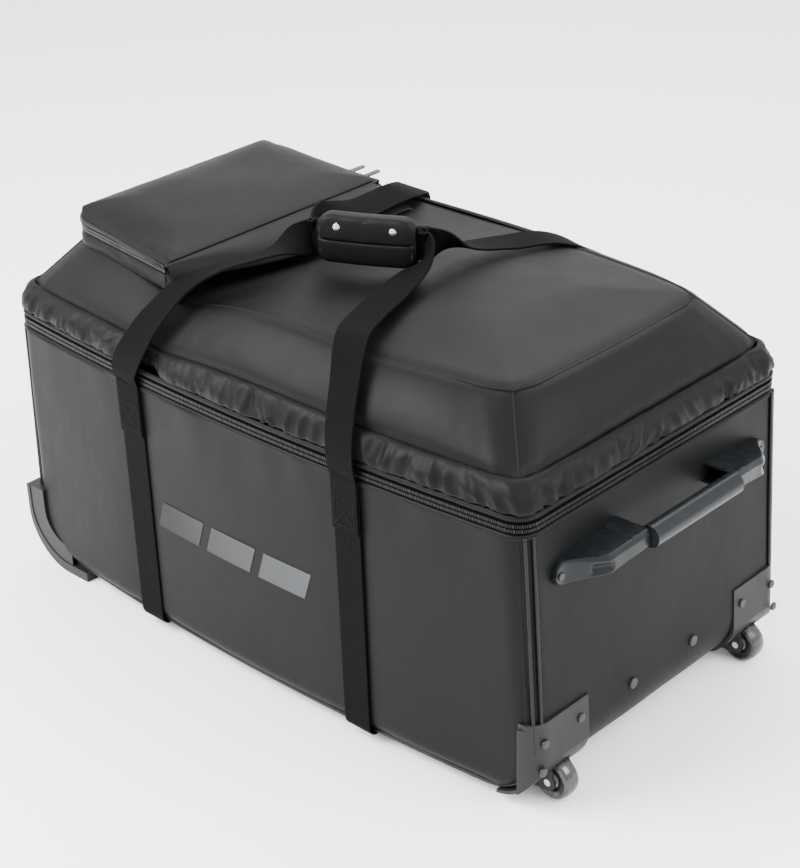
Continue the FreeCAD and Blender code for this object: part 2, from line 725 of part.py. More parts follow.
def grip_snaps():
    """The two press studs that close the sleeve."""
    caps = []
    for x in (-SNAP_OFFSET, SNAP_OFFSET):
        start = Vector(x, -GRIP_SIZE[1] / 2, 13)
        cap = rod(start, Vector(0, -1, 0), SNAP_R, SNAP_THICK)
        caps.append(cap.makeFillet(1.2, [cap.Edges[0]]))
    return placed_on_grip(group(caps))


def handle_loop(left, right, offset):
    """Webbing from one sewn foot, on edge through the grip, to the other foot."""
    along, front = grip_axes()
    on_edge = Vector(0, 0, -1)
    half = GRIP_SIZE[0] / 2
    inside = [GRIP_CENTRE + along * s + front * offset for s in (-half - 10, -half - 4, 0, half + 4, half + 10)]
    route = left + [(point, on_edge) for point in inside] + right
    centres = [point for point, _ in route]
    widths = [width for _, width in route]
    return ribbon(centres, widths, WEB_WIDTH, WEB)


def front_loop_strap():
    """The handle on the front: free of the lid, slanting up to the grip."""
    rising, falling = Vector(1, 0, 0), Vector(-1, 0, 0)
    left = [
        (Vector(STRAP_X[0], -242.5, LOOP_FOOT_Z), rising),
        (Vector(-167, -245.6, 340), rising),
        (Vector(-150, -243.5, 370), rising),
        (Vector(-131, -228, 406), Vector(1, -0.1, 0)),
        (Vector(-114, -196, 438), Vector(1, -0.2, 0.1)),
        (Vector(-96, -162, 452), Vector(1, -0.3, 0.25)),
        (Vector(-78, -126, 457), Vector(1, -0.3, 0.3)),
        (Vector(-65, -90, 461), Vector(0.9, -0.2, 0.1)),
    ]
    right = [
        (Vector(80, -2, 465), Vector(-0.5, -0.1, -0.8)),
        (Vector(88, -32, 457), Vector(-1, -0.3, -0.3)),
        (Vector(104, -86, 453), Vector(-1, -0.3, 0)),
        (Vector(121, -138, 452), Vector(-1, -0.3, 0)),
        (Vector(142, -184, 450), Vector(-1, -0.2, 0)),
        (Vector(162, -218, 414), falling),
        (Vector(174, -240, 376), falling),
        (Vector(177, -245.6, 346), falling),
        (Vector(STRAP_X[1], -242.5, LOOP_FOOT_Z), falling),
    ]
    return handle_loop(left, right, 2.1)


def rear_loop_strap():
    """The handle on the back, which meets the front one in the grip."""
    rising, falling = Vector(1, 0, 0), Vector(-1, 0, 0)
    left = [
        (Vector(STRAP_X[0], 242.5, LOOP_FOOT_Z), rising),
        (Vector(-173, 245.6, 346), rising),
        (Vector(-166, 235, 392), rising),
        (Vector(-148, 206, 432), Vector(1, 0.2, -0.1)),
        (Vector(-121, 160, 463), Vector(1, 0.3, -0.35)),
        (Vector(-109, 115, 463), Vector(1, 0.3, -0.35)),
        (Vector(-97, 70, 462), Vector(1, 0.2, -0.4)),
        (Vector(-87, 26, 464), Vector(0.6, 0.1, -0.8)),
        (Vector(-76, -18, 471), Vector(0.1, 0, -1)),
    ]
    right = [
        (Vector(76, 20, 469), Vector(-0.3, 0, -1)),
        (Vector(84, 52, 460), Vector(-1, 0.2, -0.2)),
        (Vector(100, 108, 455), Vector(-1, 0.3, 0.15)),
        (Vector(121, 164, 451), Vector(-1, 0.3, 0.1)),
        (Vector(148, 208, 424), Vector(-1, 0.1, 0)),
        (Vector(171, 238, 378), falling),
        (Vector(177, 245.6, 346), falling),
        (Vector(STRAP_X[1], 242.5, LOOP_FOOT_Z), falling),
    ]
    return handle_loop(left, right, -2.1)


# ---------------------------------------------------------------- zip sliders
def main_slider(y):
    """A slider of the main zip."""
    face = -ZIP_LENGTH / 2 - TEETH_PROUD - 0.8
    body = box((face - 4.5, face), (y - 6, y + 6), (ZIP_Z - 5.5, ZIP_Z + 5.5))
    return body.makeFillet(1.5, [e for e in body.Edges if abs(e.tangentAt(e.FirstParameter).x) > 0.9])


def main_puller(y):
    """The tab that hangs from a main slider."""
    face = -ZIP_LENGTH / 2 - TEETH_PROUD - 3.0
    tab = box((face - 2.6, face), (y - 5, y + 5), (ZIP_Z - 46, ZIP_Z - 7.2))
    return tab.makeFillet(3.0, [e for e in tab.Edges if abs(e.tangentAt(e.FirstParameter).x) > 0.9])


def pocket_slider(x):
    """A slider of the pocket's zip, on its back wall."""
    face = POCKET_Y[1] + 0.6
    body = box((x - 5, x + 5), (face, face + 4), (POCKET_SPLIT_Z - 4.5, POCKET_SPLIT_Z + 4.5))
    return body.makeFillet(1.2, [e for e in body.Edges if abs(e.tangentAt(e.FirstParameter).y) > 0.9])


def pocket_puller(x):
    """The tab of a pocket slider, lying back over the lid."""
    face = POCKET_Y[1] + 6.4
    tab = box((x - 3.5, x + 3.5), (face, face + 28), (POCKET_SPLIT_Z - 1.1, POCKET_SPLIT_Z + 1.1))
    return tab.makeFillet(2.5, [e for e in tab.Edges if abs(e.tangentAt(e.FirstParameter).z) > 0.9])


# ---------------------------------------------------------------- all sub-parts
def sub_parts():
    """Every node's name and shape, in bag coordinates."""
    bracket = wheel_bracket()
    guard = corner_guard()
    fairing = handle_fairing()
    parts = {
        "front_panel": wall_panel("front"),
        "back_panel": wall_panel("back"),
        "wheel_end_panel": wheel_end_panel(),
        "far_end_panel": far_end_panel(),
        "base_panel": base_panel(),
        "base_board": base_board(),
        "wheel_end_board": wheel_end_board(),
        "corner_piping": corner_piping(),
        "lower_zip": lower_zip(),
        "lid_hinge_strip": lid_hinge_strip(),
        "left_strap": body_strap(STRAP_X[0]),
        "right_strap": body_strap(STRAP_X[1]),
        "bracket_fasteners": bracket_fasteners(),
        "wheel_axles": wheel_axles(),
        "pull_bar": pull_bar(),
        "fairing_screws": fairing_screws(),
        "trolley_outer_tubes": trolley_outer_tubes(),
        "tube_plugs": tube_plugs(),
        "tube_bolts": tube_bolts(),
        "trolley_cup": trolley_cup(),
        "handle_channel": handle_channel(),
        "trolley_inner_tubes": trolley_inner_tubes(),
        "trolley_grip": trolley_grip(),
        "trolley_button": trolley_button(),
        "lid_gusset": lid_gusset(),
        "lid_top_panel": lid_top_panel(),
        "upper_zip": upper_zip(),
        "pocket_lower_wall": pocket_wall(400, POCKET_SPLIT_Z - 0.4),
        "pocket_ramp": pocket_ramp(),
        "pocket_top_panel": pocket_top_panel(),
        "pocket_upper_wall": pocket_wall(POCKET_SPLIT_Z + 0.4, POCKET_TOP_Z - WALL),
        "grip_wrap": grip_wrap(),
        "grip_snaps": grip_snaps(),
        "front_loop_strap": front_loop_strap(),
        "rear_loop_strap": rear_loop_strap(),
    }
    for side in ("front", "back", "wheel_end", "far_end"):
        parts["lid_" + side + "_slope"] = lid_slope(side)
    for name, shape in (("wheel_bracket", bracket), ("corner_guard", guard), ("handle_fairing", fairing)):
        parts[name + "_front"], parts[name + "_back"] = both_sides(shape)
    for side, y in (("front", -WHEEL_Y), ("back", WHEEL_Y)):
        parts["tyre_" + side] = tyre(y)
        parts["hub_" + side] = hub(y)
        parts["bearing_" + side] = bearing(y)
    for side, y, x in zip(("a", "b"), SLIDER_Y, POCKET_SLIDER_X):
        parts["main_slider_" + side] = main_slider(y)
        parts["main_puller_" + side] = main_puller(y)
        parts["pocket_slider_" + side] = pocket_slider(x)
        parts["pocket_puller_" + side] = pocket_puller(x)
    return parts


os.makedirs("parts", exist_ok=True)
for node, shape in sub_parts().items():
    shape = shape.translated(ROW_SHIFT)
    shape.exportStep("parts/" + node + ".step")
    extent = shape.optimalBoundingBox(False)
    print(
        node, "solids", len(shape.Solids), "valid", shape.isValid(), "cm3", round(shape.Volume / 1000, 1),
        [round(v, 1) for v in (extent.XMin, extent.XMax, extent.YMin, extent.YMax, extent.ZMin, extent.ZMax)],
    )
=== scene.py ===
import logging
import math
import random
from dataclasses import dataclass, field
from enum import Enum
from typing import Any, Callable, Iterable, Sequence

import bmesh
import bpy
from mathutils import Matrix, Vector, noise


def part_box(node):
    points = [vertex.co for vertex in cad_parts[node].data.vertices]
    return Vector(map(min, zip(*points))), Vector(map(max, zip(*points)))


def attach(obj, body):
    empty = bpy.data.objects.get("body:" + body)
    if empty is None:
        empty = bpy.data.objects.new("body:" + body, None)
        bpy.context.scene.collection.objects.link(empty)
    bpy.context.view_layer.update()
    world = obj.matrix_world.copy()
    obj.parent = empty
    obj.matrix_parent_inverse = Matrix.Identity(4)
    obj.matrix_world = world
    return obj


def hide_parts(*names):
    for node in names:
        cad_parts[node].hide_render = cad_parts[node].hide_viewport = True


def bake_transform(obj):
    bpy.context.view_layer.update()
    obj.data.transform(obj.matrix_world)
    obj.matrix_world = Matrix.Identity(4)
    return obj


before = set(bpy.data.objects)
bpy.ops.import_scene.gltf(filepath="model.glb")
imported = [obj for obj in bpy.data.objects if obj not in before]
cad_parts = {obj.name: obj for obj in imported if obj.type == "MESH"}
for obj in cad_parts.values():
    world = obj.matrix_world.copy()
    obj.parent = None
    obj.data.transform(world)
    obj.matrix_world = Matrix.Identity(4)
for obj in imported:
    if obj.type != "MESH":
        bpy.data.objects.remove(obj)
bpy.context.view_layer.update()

LOG = logging.getLogger("equipment_bag")
UP = Vector((0.0, 0.0, 1.0))

Place = Callable[[float, float], Vector]


# ---------------------------------------------------------------- sizes shared by the sub-assemblies
@dataclass(frozen=True)
class BagSizes:
    """The bag's main sizes in metres, read from the frame where a node shows them."""

    mid_x: float
    base_z: float
    zip_z: float
    zip_half: float
    corner_half: float
    bulge: float = 0.022
    lean: float = 0.015
    base_radius: float = 0.065
    gusset_height: float = 0.048
    gusset_inset: float = 0.0095
    lid_inset: float = 0.063
    lid_height: float = 0.111

    @classmethod
    def from_frame(cls) -> "BagSizes":
        """Read the bag's place and size from its gusset, zip and base.

        Returns:
            The sizes that every sub-assembly shares.
        """
        low, high = (Vector(corner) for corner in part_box("lid_gusset"))
        base_low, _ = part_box("base_panel")
        _, zip_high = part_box("lower_zip")
        bulge = cls.bulge
        return cls(
            mid_x=(low.x + high.x) / 2,
            base_z=base_low[2],
            zip_z=zip_high[2] + 0.0004,
            zip_half=(high.x - low.x) / 2,
            corner_half=(high.y - low.y) / 2 - bulge,
        )

    @property
    def zip_rise(self) -> float:
        """Height of the zip above the base."""
        return self.zip_z - self.base_z

    def half_length(self, rise: float) -> float:
        """Half the length of the lower bag at a height above its base."""
        half = self.zip_half + self.lean * (1 - rise / self.zip_rise)
        if rise >= self.base_radius:
            return half
        drop = self.base_radius - max(rise, 0.0)
        rounded = self.base_radius - math.sqrt(max(self.base_radius**2 - drop**2, 0.0))
        return half - rounded

    def swell(self, x: float, amount: float | None = None) -> float:
        """How far a long side stands out at a place along the bag."""
        share = min(abs(x) / self.zip_half, 1.0)
        return (self.bulge if amount is None else amount) * (1 - share**2)

    def out(self, point: Vector) -> Vector:
        """Turn bag coordinates, from the middle of the base, into the frame's."""
        return Vector((point.x + self.mid_x, point.y, point.z + self.base_z))


SIZES = BagSizes.from_frame()


class Side(Enum):
    """The front or the back of the bag, by the sign of Y."""

    FRONT = -1
    BACK = 1


# ---------------------------------------------------------------- mesh helpers
def smooth(low: float, high: float, value: float) -> float:
    """Rise from 0 to 1 between two values without a kink."""
    t = min(max((value - low) / (high - low), 0.0), 1.0)
    return t * t * (3 - 2 * t)


def bell(value: float, centre: float, width: float) -> float:
    """A smooth hump of height 1 about a centre."""
    return math.exp(-(((value - centre) / width) ** 2))


def mixed(a: Vector, b: Vector, t: float) -> Vector:
    """A point part of the way from one place to another."""
    return a + (b - a) * t


def steps(count: int, crowd: float = 0.5) -> list[float]:
    """Divide 0 to 1 into steps that crowd towards both ends.

    Args:
        count: Number of steps.
        crowd: 0 for even steps, 1 for the most crowded.

    Returns:
        count + 1 values from 0 to 1.
    """
    even = [i / count for i in range(count + 1)]
    return [t * (1 - crowd) + crowd * (0.5 - 0.5 * math.cos(math.pi * t)) for t in even]


def finish_mesh(bm: bmesh.types.BMesh, name: str, shade_smooth: bool = True) -> bpy.types.Object:
    """Turn a bmesh into an object at the origin.

    Args:
        bm: The mesh, which is freed.
        name: The piece's name.
        shade_smooth: Whether its faces shade smoothly.

    Returns:
        The new object.
    """
    mesh = bpy.data.meshes.new(name)
    bm.to_mesh(mesh)
    bm.free()
    mesh.polygons.foreach_set("use_smooth", [shade_smooth] * len(mesh.polygons))
    piece = bpy.data.objects.new(name, mesh)
    bpy.context.scene.collection.objects.link(piece)
    return piece


def sheet_bmesh(
    columns: Sequence[float], rows: Sequence[float], place: Place, scale: tuple[float, float]
) -> bmesh.types.BMesh:
    """Shape a flat grid into a curved sheet.

    Args:
        columns: Places across the sheet, from 0 to 1.
        rows: Places up the sheet, from 0 to 1.
        place: Gives the position of a place across and up.
        scale: The sheet's width and height in metres, for its UV map.

    Returns:
        The shaped bmesh.
    """
    bm = bmesh.new()
    across, up = len(columns) - 1, len(rows) - 1
    bmesh.ops.create_grid(bm, x_segments=across, y_segments=up, size=1.0)
    spots = {}
    for vert in bm.verts:
        i = round((vert.co.x + 1) / 2 * across)
        j = round((vert.co.y + 1) / 2 * up)
        spots[vert] = (columns[i], rows[j])
        vert.co = place(columns[i], rows[j])
    layer = bm.loops.layers.uv.new("cloth")
    for face in bm.faces:
        for loop in face.loops:
            u, v = spots[loop.vert]
            loop[layer].uv = (u * scale[0], v * scale[1])
    return bm


def cloth_sheet(
    name: str,
    columns: Sequence[float],
    rows: Sequence[float],
    place: Place,
    scale: tuple[float, float] = (1.0, 1.0),
    thickness: float = 0.0025,
    flip: bool = False,
    weld: bool = False,
) -> bpy.types.Object:
    """Make one curved sheet of cloth with an even thickness.

    Args:
        name: The piece's name.
        columns: Places across the sheet, from 0 to 1.
        rows: Places up the sheet, from 0 to 1.
        place: Gives the position of a place across and up.
        scale: The sheet's width and height in metres, for its UV map.
        thickness: How thick the cloth is, inwards from its outer face.
        flip: Whether its outer face is the other one.
        weld: Whether its two ends meet.

    Returns:
        The new object.
    """
    bm = sheet_bmesh(columns, rows, place, scale)
    if weld:
        bmesh.ops.remove_doubles(bm, verts=bm.verts, dist=1e-5)
    if flip:
        bmesh.ops.reverse_faces(bm, faces=bm.faces)
    piece = finish_mesh(bm, name)
    if thickness:
        wall = piece.modifiers.new("thickness", "SOLIDIFY")
        wall.thickness = thickness
        wall.offset = -1.0
        wall.use_even_offset = False
    return piece


def rounded(piece: bpy.types.Object, levels: int = 1) -> bpy.types.Object:
    """Smooth a piece with a subdivision surface."""
    softening = piece.modifiers.new("rounding", "SUBSURF")
    softening.levels = levels
    softening.render_levels = levels
    return piece


def spline_points(points: Sequence[Vector], per_span: int) -> list[Vector]:
    """Run a smooth line through a few points.

    Args:
        points: The points that the line passes.
        per_span: Steps between each two of them.

    Returns:
        The points along the line.
    """
    line = []
    padded = [points[0] * 2 - points[1], *points, points[-1] * 2 - points[-2]]
    for a, b, c, d in zip(padded, padded[1:], padded[2:], padded[3:]):
        for k in range(per_span):
            t = k / per_span
            curve = b * 2 + (c - a) * t
            curve += (a * 2 - b * 5 + c * 4 - d) * t**2
            curve += (b * 3 - a - c * 3 + d) * t**3
            line.append(curve / 2)
    return line + [points[-1].copy()]


def tangents(points: Sequence[Vector], closed: bool = False) -> list[Vector]:
    """Give the direction of a line at each of its points."""
    count = len(points)
    result = []
    for i in range(count):
        after = points[(i + 1) % count] if closed else points[min(i + 1, count - 1)]
        before = points[(i - 1) % count] if closed else points[max(i - 1, 0)]
        result.append((after - before).normalized())
    return result


def bead(
    bm: bmesh.types.BMesh,
    points: Sequence[Vector],
    radius: float,
    sides: int = 6,
    closed: bool = False,
    flatten: float = 1.0,
    normal: Vector | None = None,
) -> None:
    """Add a round cord along a line of points.

    Args:
        bm: The mesh that it is added to.
        points: The cord's centre line.
        radius: Its radius.
        sides: How many sides its section has.
        closed: Whether the line is a loop.
        flatten: Its height as a share of its width.
        normal: The direction in which it is flattened.
    """
    rings = []
    guide = normal or UP
    for point, along in zip(points, tangents(points, closed)):
        side = along.cross(guide)
        side = side.normalized() if side.length > 1e-4 else along.orthogonal().normalized()
        top = side.cross(along).normalized()
        circle = bmesh.ops.create_circle(bm, segments=sides, radius=radius)["verts"]
        for vert in circle:
            local = vert.co.copy()
            vert.co = point + side * local.x + top * (local.y * flatten)
        rings.append(circle)
    pairs = list(zip(rings, rings[1:])) + ([(rings[-1], rings[0])] if closed else [])
    for near, far in pairs:
        for k in range(sides):
            n = (k + 1) % sides
            bm.faces.new((near[k], near[n], far[n], far[k]))
    if not closed:
        bm.faces.new(rings[0][::-1])
        bm.faces.new(rings[-1])


def cord_piece(name: str, lines: Iterable[Sequence[Vector]], radius: float, **shape: Any) -> bpy.types.Object:
    """Make one piece of one or more round beads.

    Args:
        name: The piece's name.
        lines: The centre line of each bead.
        radius: Their radius.
        shape: Further settings of each bead.

    Returns:
        The new object.
    """
    bm = bmesh.new()
    for line in lines:
        bead(bm, line, radius, **shape)
    bmesh.ops.recalc_face_normals(bm, faces=bm.faces)
    return finish_mesh(bm, name)


def web_piece(
    name: str, centres: Sequence[Vector], widths: Sequence[Vector], width: float, thickness: float
) -> bpy.types.Object:
    """Make flat webbing with rolled edges along a line.

    Args:
        name: The piece's name.
        centres: Its centre line.
        widths: The direction of its width at each point.
        width: Its width.
        thickness: Its thickness.

    Returns:
        The new object, with a UV map in metres along and across the webbing.
    """
    across = steps(14, 0.35)
    lengths = [0.0]
    for a, b in zip(centres, centres[1:]):
        lengths.append(lengths[-1] + (b - a).length)
    ways = tangents(centres)
    total = lengths[-1]

    def place(u: float, v: float) -> Vector:
        """Place one point of the sheet."""
        i = min(range(len(lengths)), key=lambda k: abs(lengths[k] / total - v))
        side = (widths[i] - ways[i] * widths[i].dot(ways[i])).normalized()
        return centres[i] + side * ((u - 0.5) * width)

    bm = sheet_bmesh(across, [length / total for length in lengths], place, (width, total))
    piece = finish_mesh(bm, name)
    wall = piece.modifiers.new("thickness", "SOLIDIFY")
    wall.thickness = thickness
    wall.offset = 0.0
    edge = piece.modifiers.new("rolled_edge", "BEVEL")
    edge.width = thickness * 0.4
    edge.segments = 2
    edge.limit_method = "ANGLE"
    edge.angle_limit = math.radians(50)
    return piece


def stitch_run(
    bm: bmesh.types.BMesh, line: Sequence[Vector], lift: Sequence[Vector], pitch: float, size: float
) -> None:
    """Sew a row of short stitches along a line.

    Args:
        bm: The mesh that they are added to.
        line: The sewn line, in small steps.
        lift: The surface's outward direction at each point.
        pitch: From one stitch to the next.
        size: A stitch's half width.
    """
    travelled, due = 0.0, 0.0
    for i in range(1, len(line)):
        travelled += (line[i] - line[i - 1]).length
        if travelled < due:
            continue
        due = travelled + pitch
        along = (line[i] - line[i - 1]).normalized()
        up = lift[i].normalized()
        side = along.cross(up).normalized()
        basis = Matrix((along * (pitch * 0.36), side * size, up * size)).transposed().to_4x4()
        basis.translation = line[i] + up * (size * 0.3)
        bmesh.ops.create_icosphere(bm, subdivisions=1, radius=1.0, matrix=basis)


# ---------------------------------------------------------------- shader graph
class Value:
    """One number socket of a shader graph, which adds Math nodes when it is used in sums."""

    def __init__(self, graph: "Graph", socket: bpy.types.NodeSocket) -> None:
        """Keep the graph and the socket."""
        self.graph = graph
        self.socket = socket

    def math(self, operation: str, other: Any = 0.0, swap: bool = False, clamp: bool = False) -> "Value":
        """Combine this value with another one.

        Args:
            operation: The Math node's operation.
            other: A number or another value.
            swap: Whether the other one comes first.
            clamp: Whether the result stays between 0 and 1.

        Returns:
            The result.
        """
        pair = [other, self] if swap else [self, other]
        made = self.graph.node("ShaderNodeMath", {"operation": operation, "use_clamp": clamp}, dict(enumerate(pair)))
        return Value(self.graph, made.outputs[0])

    def __add__(self, other: Any) -> "Value":
        """Add."""
        return self.math("ADD", other)

    __radd__ = __add__

    def __mul__(self, other: Any) -> "Value":
        """Multiply."""
        return self.math("MULTIPLY", other)

    __rmul__ = __mul__

    def __sub__(self, other: Any) -> "Value":
        """Take away."""
        return self.math("SUBTRACT", other)

    def __rsub__(self, other: Any) -> "Value":
        """Take this away from a number."""
        return self.math("SUBTRACT", other, swap=True)

    def __pow__(self, other: Any) -> "Value":
        """Raise to a power."""
        return self.math("POWER", other)

    def sine(self) -> "Value":
        """Sine of the value."""
        return self.math("SINE")

    def clamped(self) -> "Value":
        """The value, kept between 0 and 1."""
        return self.math("ADD", 0.0, clamp=True)

    def above(self, edge: float, softness: float) -> "Value":
        """A mask that rises from 0 to 1 over an edge."""
        return ((self - edge) * (1.0 / softness) + 0.5).clamped()


class Graph:
    """The node tree of one material."""

    def __init__(self, name: str) -> None:
        """Start a material with a plain Principled shader.

        Args:
            name: The material's name.
        """
        self.material = bpy.data.materials.new(name)
        self.material.use_nodes = True
        self.tree = self.material.node_tree
        self.shader = self.tree.nodes["Principled BSDF"]
        self.coordinates = self.tree.nodes.new("ShaderNodeTexCoord")

    def node(
        self, kind: str, settings: dict[str, Any] | None = None, inputs: dict[Any, Any] | None = None
    ) -> bpy.types.Node:
        """Add a node.

        Args:
            kind: The node's type.
            settings: Its properties, set first.
            inputs: A number, colour, Value or socket for each input, by name or place.

        Returns:
            The new node.
        """
        made = self.tree.nodes.new(kind)
        for key, setting in (settings or {}).items():
            setattr(made, key, setting)
        for key, source in (inputs or {}).items():
            self.feed(made.inputs[key], source)
        return made

    def feed(self, socket: bpy.types.NodeSocket, source: Any) -> None:
        """Set or link one input.

        Args:
            socket: The input.
            source: A number, colour, Value or output socket.
        """
        if isinstance(source, Value):
            source = source.socket
        if isinstance(source, bpy.types.NodeSocket):
            self.tree.links.new(source, socket)
        else:
            socket.default_value = source

    def noise(
        self, scale: float, detail: float = 3.0, stretch: tuple[float, float, float] | None = None, uv: bool = False
    ) -> Value:
        """Soft noise over the object's own coordinates.

        Args:
            scale: Features per metre.
            detail: Levels of finer noise.
            stretch: How much each axis is scaled first.
            uv: Whether it follows the piece's UV map.

        Returns:
            The noise, about 0.5.
        """
        place = self.coordinates.outputs["UV" if uv else "Object"]
        if stretch:
            place = self.node("ShaderNodeMapping", {}, {"Vector": place, "Scale": stretch}).outputs[0]
        made = self.node("ShaderNodeTexNoise", {}, {"Vector": place, "Scale": scale, "Detail": detail})
        return Value(self, made.outputs["Fac"])

    def axes(self, uv: bool = False) -> tuple[Value, Value, Value]:
        """The three coordinates as values.

        Args:
            uv: Whether they are the piece's UV map.

        Returns:
            X, Y and Z.
        """
        place = self.coordinates.outputs["UV" if uv else "Object"]
        split = self.node("ShaderNodeSeparateXYZ", {}, {"Vector": place})
        return tuple(Value(self, output) for output in split.outputs)

    def blend(self, mask: Value, low: Any, high: Any) -> bpy.types.NodeSocket:
        """Mix two colours by a mask.

        Args:
            mask: 0 for the low colour, 1 for the high one.
            low: A colour or colour socket.
            high: A colour or colour socket.

        Returns:
            The mixed colour.
        """
        made = self.node("ShaderNodeMix", {"data_type": "RGBA"}, {0: mask})
        self.feed(made.inputs[6], low)
        self.feed(made.inputs[7], high)
        return made.outputs[2]

    def finish(
        self, colour: Any, roughness: Any, height: Value | None, depth: float, **fixed: Any
    ) -> bpy.types.Material:
        """Join the surface to the shader.

        Args:
            colour: The base colour.
            roughness: The roughness.
            height: What the bump follows.
            depth: The bump's distance in metres.
            fixed: Other shader inputs, the same all over.

        Returns:
            The finished material.
        """
        self.feed(self.shader.inputs["Base Color"], colour)
        self.feed(self.shader.inputs["Roughness"], roughness)
        if height is not None:
            bump = self.node("ShaderNodeBump", {}, {"Height": height, "Strength": 1.0, "Distance": depth})
            self.feed(self.shader.inputs["Normal"], bump.outputs[0])
        for name, setting in fixed.items():
            self.shader.inputs[name.replace("_", " ")].default_value = setting
        return self.material


def grey(level: float, blue: float = 0.0) -> tuple[float, float, float, float]:
    """A near-neutral colour, a little bluer or warmer."""
    return (level * (1 - blue), level, level * (1 + blue), 1.0)


# ---------------------------------------------------------------- finishes
@dataclass(frozen=True)
class CoatedFabric:
    """Coated polyester: a fine satin skin with soft colour drift and tiny creases."""

    name: str
    level: float = 0.005
    blue: float = 0.04
    roughness: float = 0.5
    grain: float = 1500.0

    def build(self) -> bpy.types.Material:
        """Make the fabric's material."""
        graph = Graph(self.name)
        drift = graph.noise(3.2, 2.0)
        cloud = graph.noise(26.0, 4.0)
        weave = graph.noise(self.grain, 2.0)
        crease = graph.noise(55.0, 5.0, (1.0, 1.0, 0.6))
        mask = (drift * 0.7 + cloud * 0.3).clamped()
        colour = graph.blend(mask, grey(self.level * 0.86, self.blue), grey(self.level * 1.16, self.blue))
        worn = graph.blend((weave - 0.35).above(0.3, 0.2) * 0.25, colour, grey(self.level * 1.5, self.blue))
        rough = drift * 0.10 + cloud * 0.10 + (self.roughness - 0.10)
        height = weave * 0.25 + crease * 0.75
        return graph.finish(
            worn, rough, height, 0.0006, Specular_IOR_Level=0.07
        )


@dataclass(frozen=True)
class RibbedWebbing:
    """Heavy polypropylene webbing with lengthwise ribs and a cross weave."""

    name: str
    level: float = 0.0028
    ribs: float = 380.0

    def build(self) -> bpy.types.Material:
        """Make the webbing's material, which reads its UV map in metres."""
        graph = Graph(self.name)
        across, along, _ = graph.axes(uv=True)
        turn = 2 * math.pi
        rib = (across * (self.ribs * turn)).sine() * 0.5 + 0.5
        pick = (along * (700.0 * turn) + (across * (self.ribs * turn * 0.5)).sine() * 2.0).sine() * 0.5 + 0.5
        fuzz = graph.noise(900.0, 2.0)
        drift = graph.noise(9.0, 3.0)
        mask = (rib * 0.55 + pick * 0.25 + fuzz * 0.2).clamped()
        colour = graph.blend(mask, grey(self.level * 0.55), grey(self.level * 1.35, 0.03))
        rough = drift * 0.12 + 0.62
        height = rib * 0.6 + pick * 0.4
        return graph.finish(colour, rough, height, 0.0006, Specular_IOR_Level=0.03)


@dataclass(frozen=True)
class MouldedPlastic:
    """Spark-grained black plastic, paler where edges rub."""

    name: str
    level: float = 0.05
    blue: float = 0.0
    roughness: float = 0.48
    grain: float = 1100.0
    grain_depth: float = 0.0001

    def build(self) -> bpy.types.Material:
        """Make the plastic's material."""
        graph = Graph(self.name)
        drift = graph.noise(18.0, 4.0)
        fine = graph.noise(self.grain, 2.0)
        scuff = graph.noise(70.0, 6.0, (1.0, 1.0, 0.25)).above(0.62, 0.18)
        colour = graph.blend(drift, grey(self.level * 0.85, self.blue), grey(self.level * 1.2, self.blue))
        colour = graph.blend(scuff * 0.35, colour, grey(self.level * 1.8, self.blue))
        rough = drift * 0.12 + scuff * 0.12 + (self.roughness - 0.08)
        return graph.finish(colour, rough, fine * 0.8 + scuff * 0.2, self.grain_depth, Specular_IOR_Level=0.16)


@dataclass(frozen=True)
class TurnedMetal:
    """Metal with fine turning marks and a little tarnish."""

    name: str
    level: float = 0.42
    roughness: float = 0.32
    metallic: float = 1.0

    def build(self) -> bpy.types.Material:
        """Make the metal's material."""
        graph = Graph(self.name)
        marks = graph.noise(900.0, 3.0, (1.0, 0.08, 1.0))
        stain = graph.noise(60.0, 4.0)
        colour = graph.blend(stain, grey(self.level * 0.8, 0.02), grey(self.level * 1.15, 0.01))
        rough = marks * 0.1 + stain * 0.12 + (self.roughness - 0.1)
        return graph.finish(colour, rough, marks, 0.00005, Metallic=self.metallic)


@dataclass(frozen=True)
class WheelTyre:
    """Glossy black urethane with faint rolling scuffs round its tread."""

    name: str

    def build(self) -> bpy.types.Material:
        """Make the tyre's material."""
        graph = Graph(self.name)
        scuff = graph.noise(240.0, 5.0, (0.4, 1.0, 0.4)).above(0.6, 0.15)
        drift = graph.noise(30.0, 3.0)
        colour = graph.blend(scuff * 0.5, grey(0.012, 0.03), grey(0.035, 0.02))
        return graph.finish(colour, drift * 0.1 + scuff * 0.2 + 0.16, scuff, 0.00006, Specular_IOR_Level=0.6)


@dataclass(frozen=True)
class PrintedMark:
    """Printed film that turns from dull to glossy along its length, its colour lightened and blued towards the glossy
    end as a painted reflection.
    """

    name: str
    start: float
    end: float

    def build(self) -> bpy.types.Material:
        """Make the print's material, which reads its place along the bag."""
        graph = Graph(self.name)
        x, _, _ = graph.axes()
        share = ((x - self.start) * (1.0 / (self.end - self.start))).clamped()
        speck = graph.noise(1400.0, 2.0)
        # painted reflection: the print's own near-black turns lighter and bluer towards the glossy end
        colour = graph.blend(share, grey(0.002, 0.05), grey(0.035, 0.10))
        rough = (1.0 - share) * 0.35 + 0.20 + speck * 0.08
        return graph.finish(colour, rough, speck, 0.00008, Specular_IOR_Level=0.25)


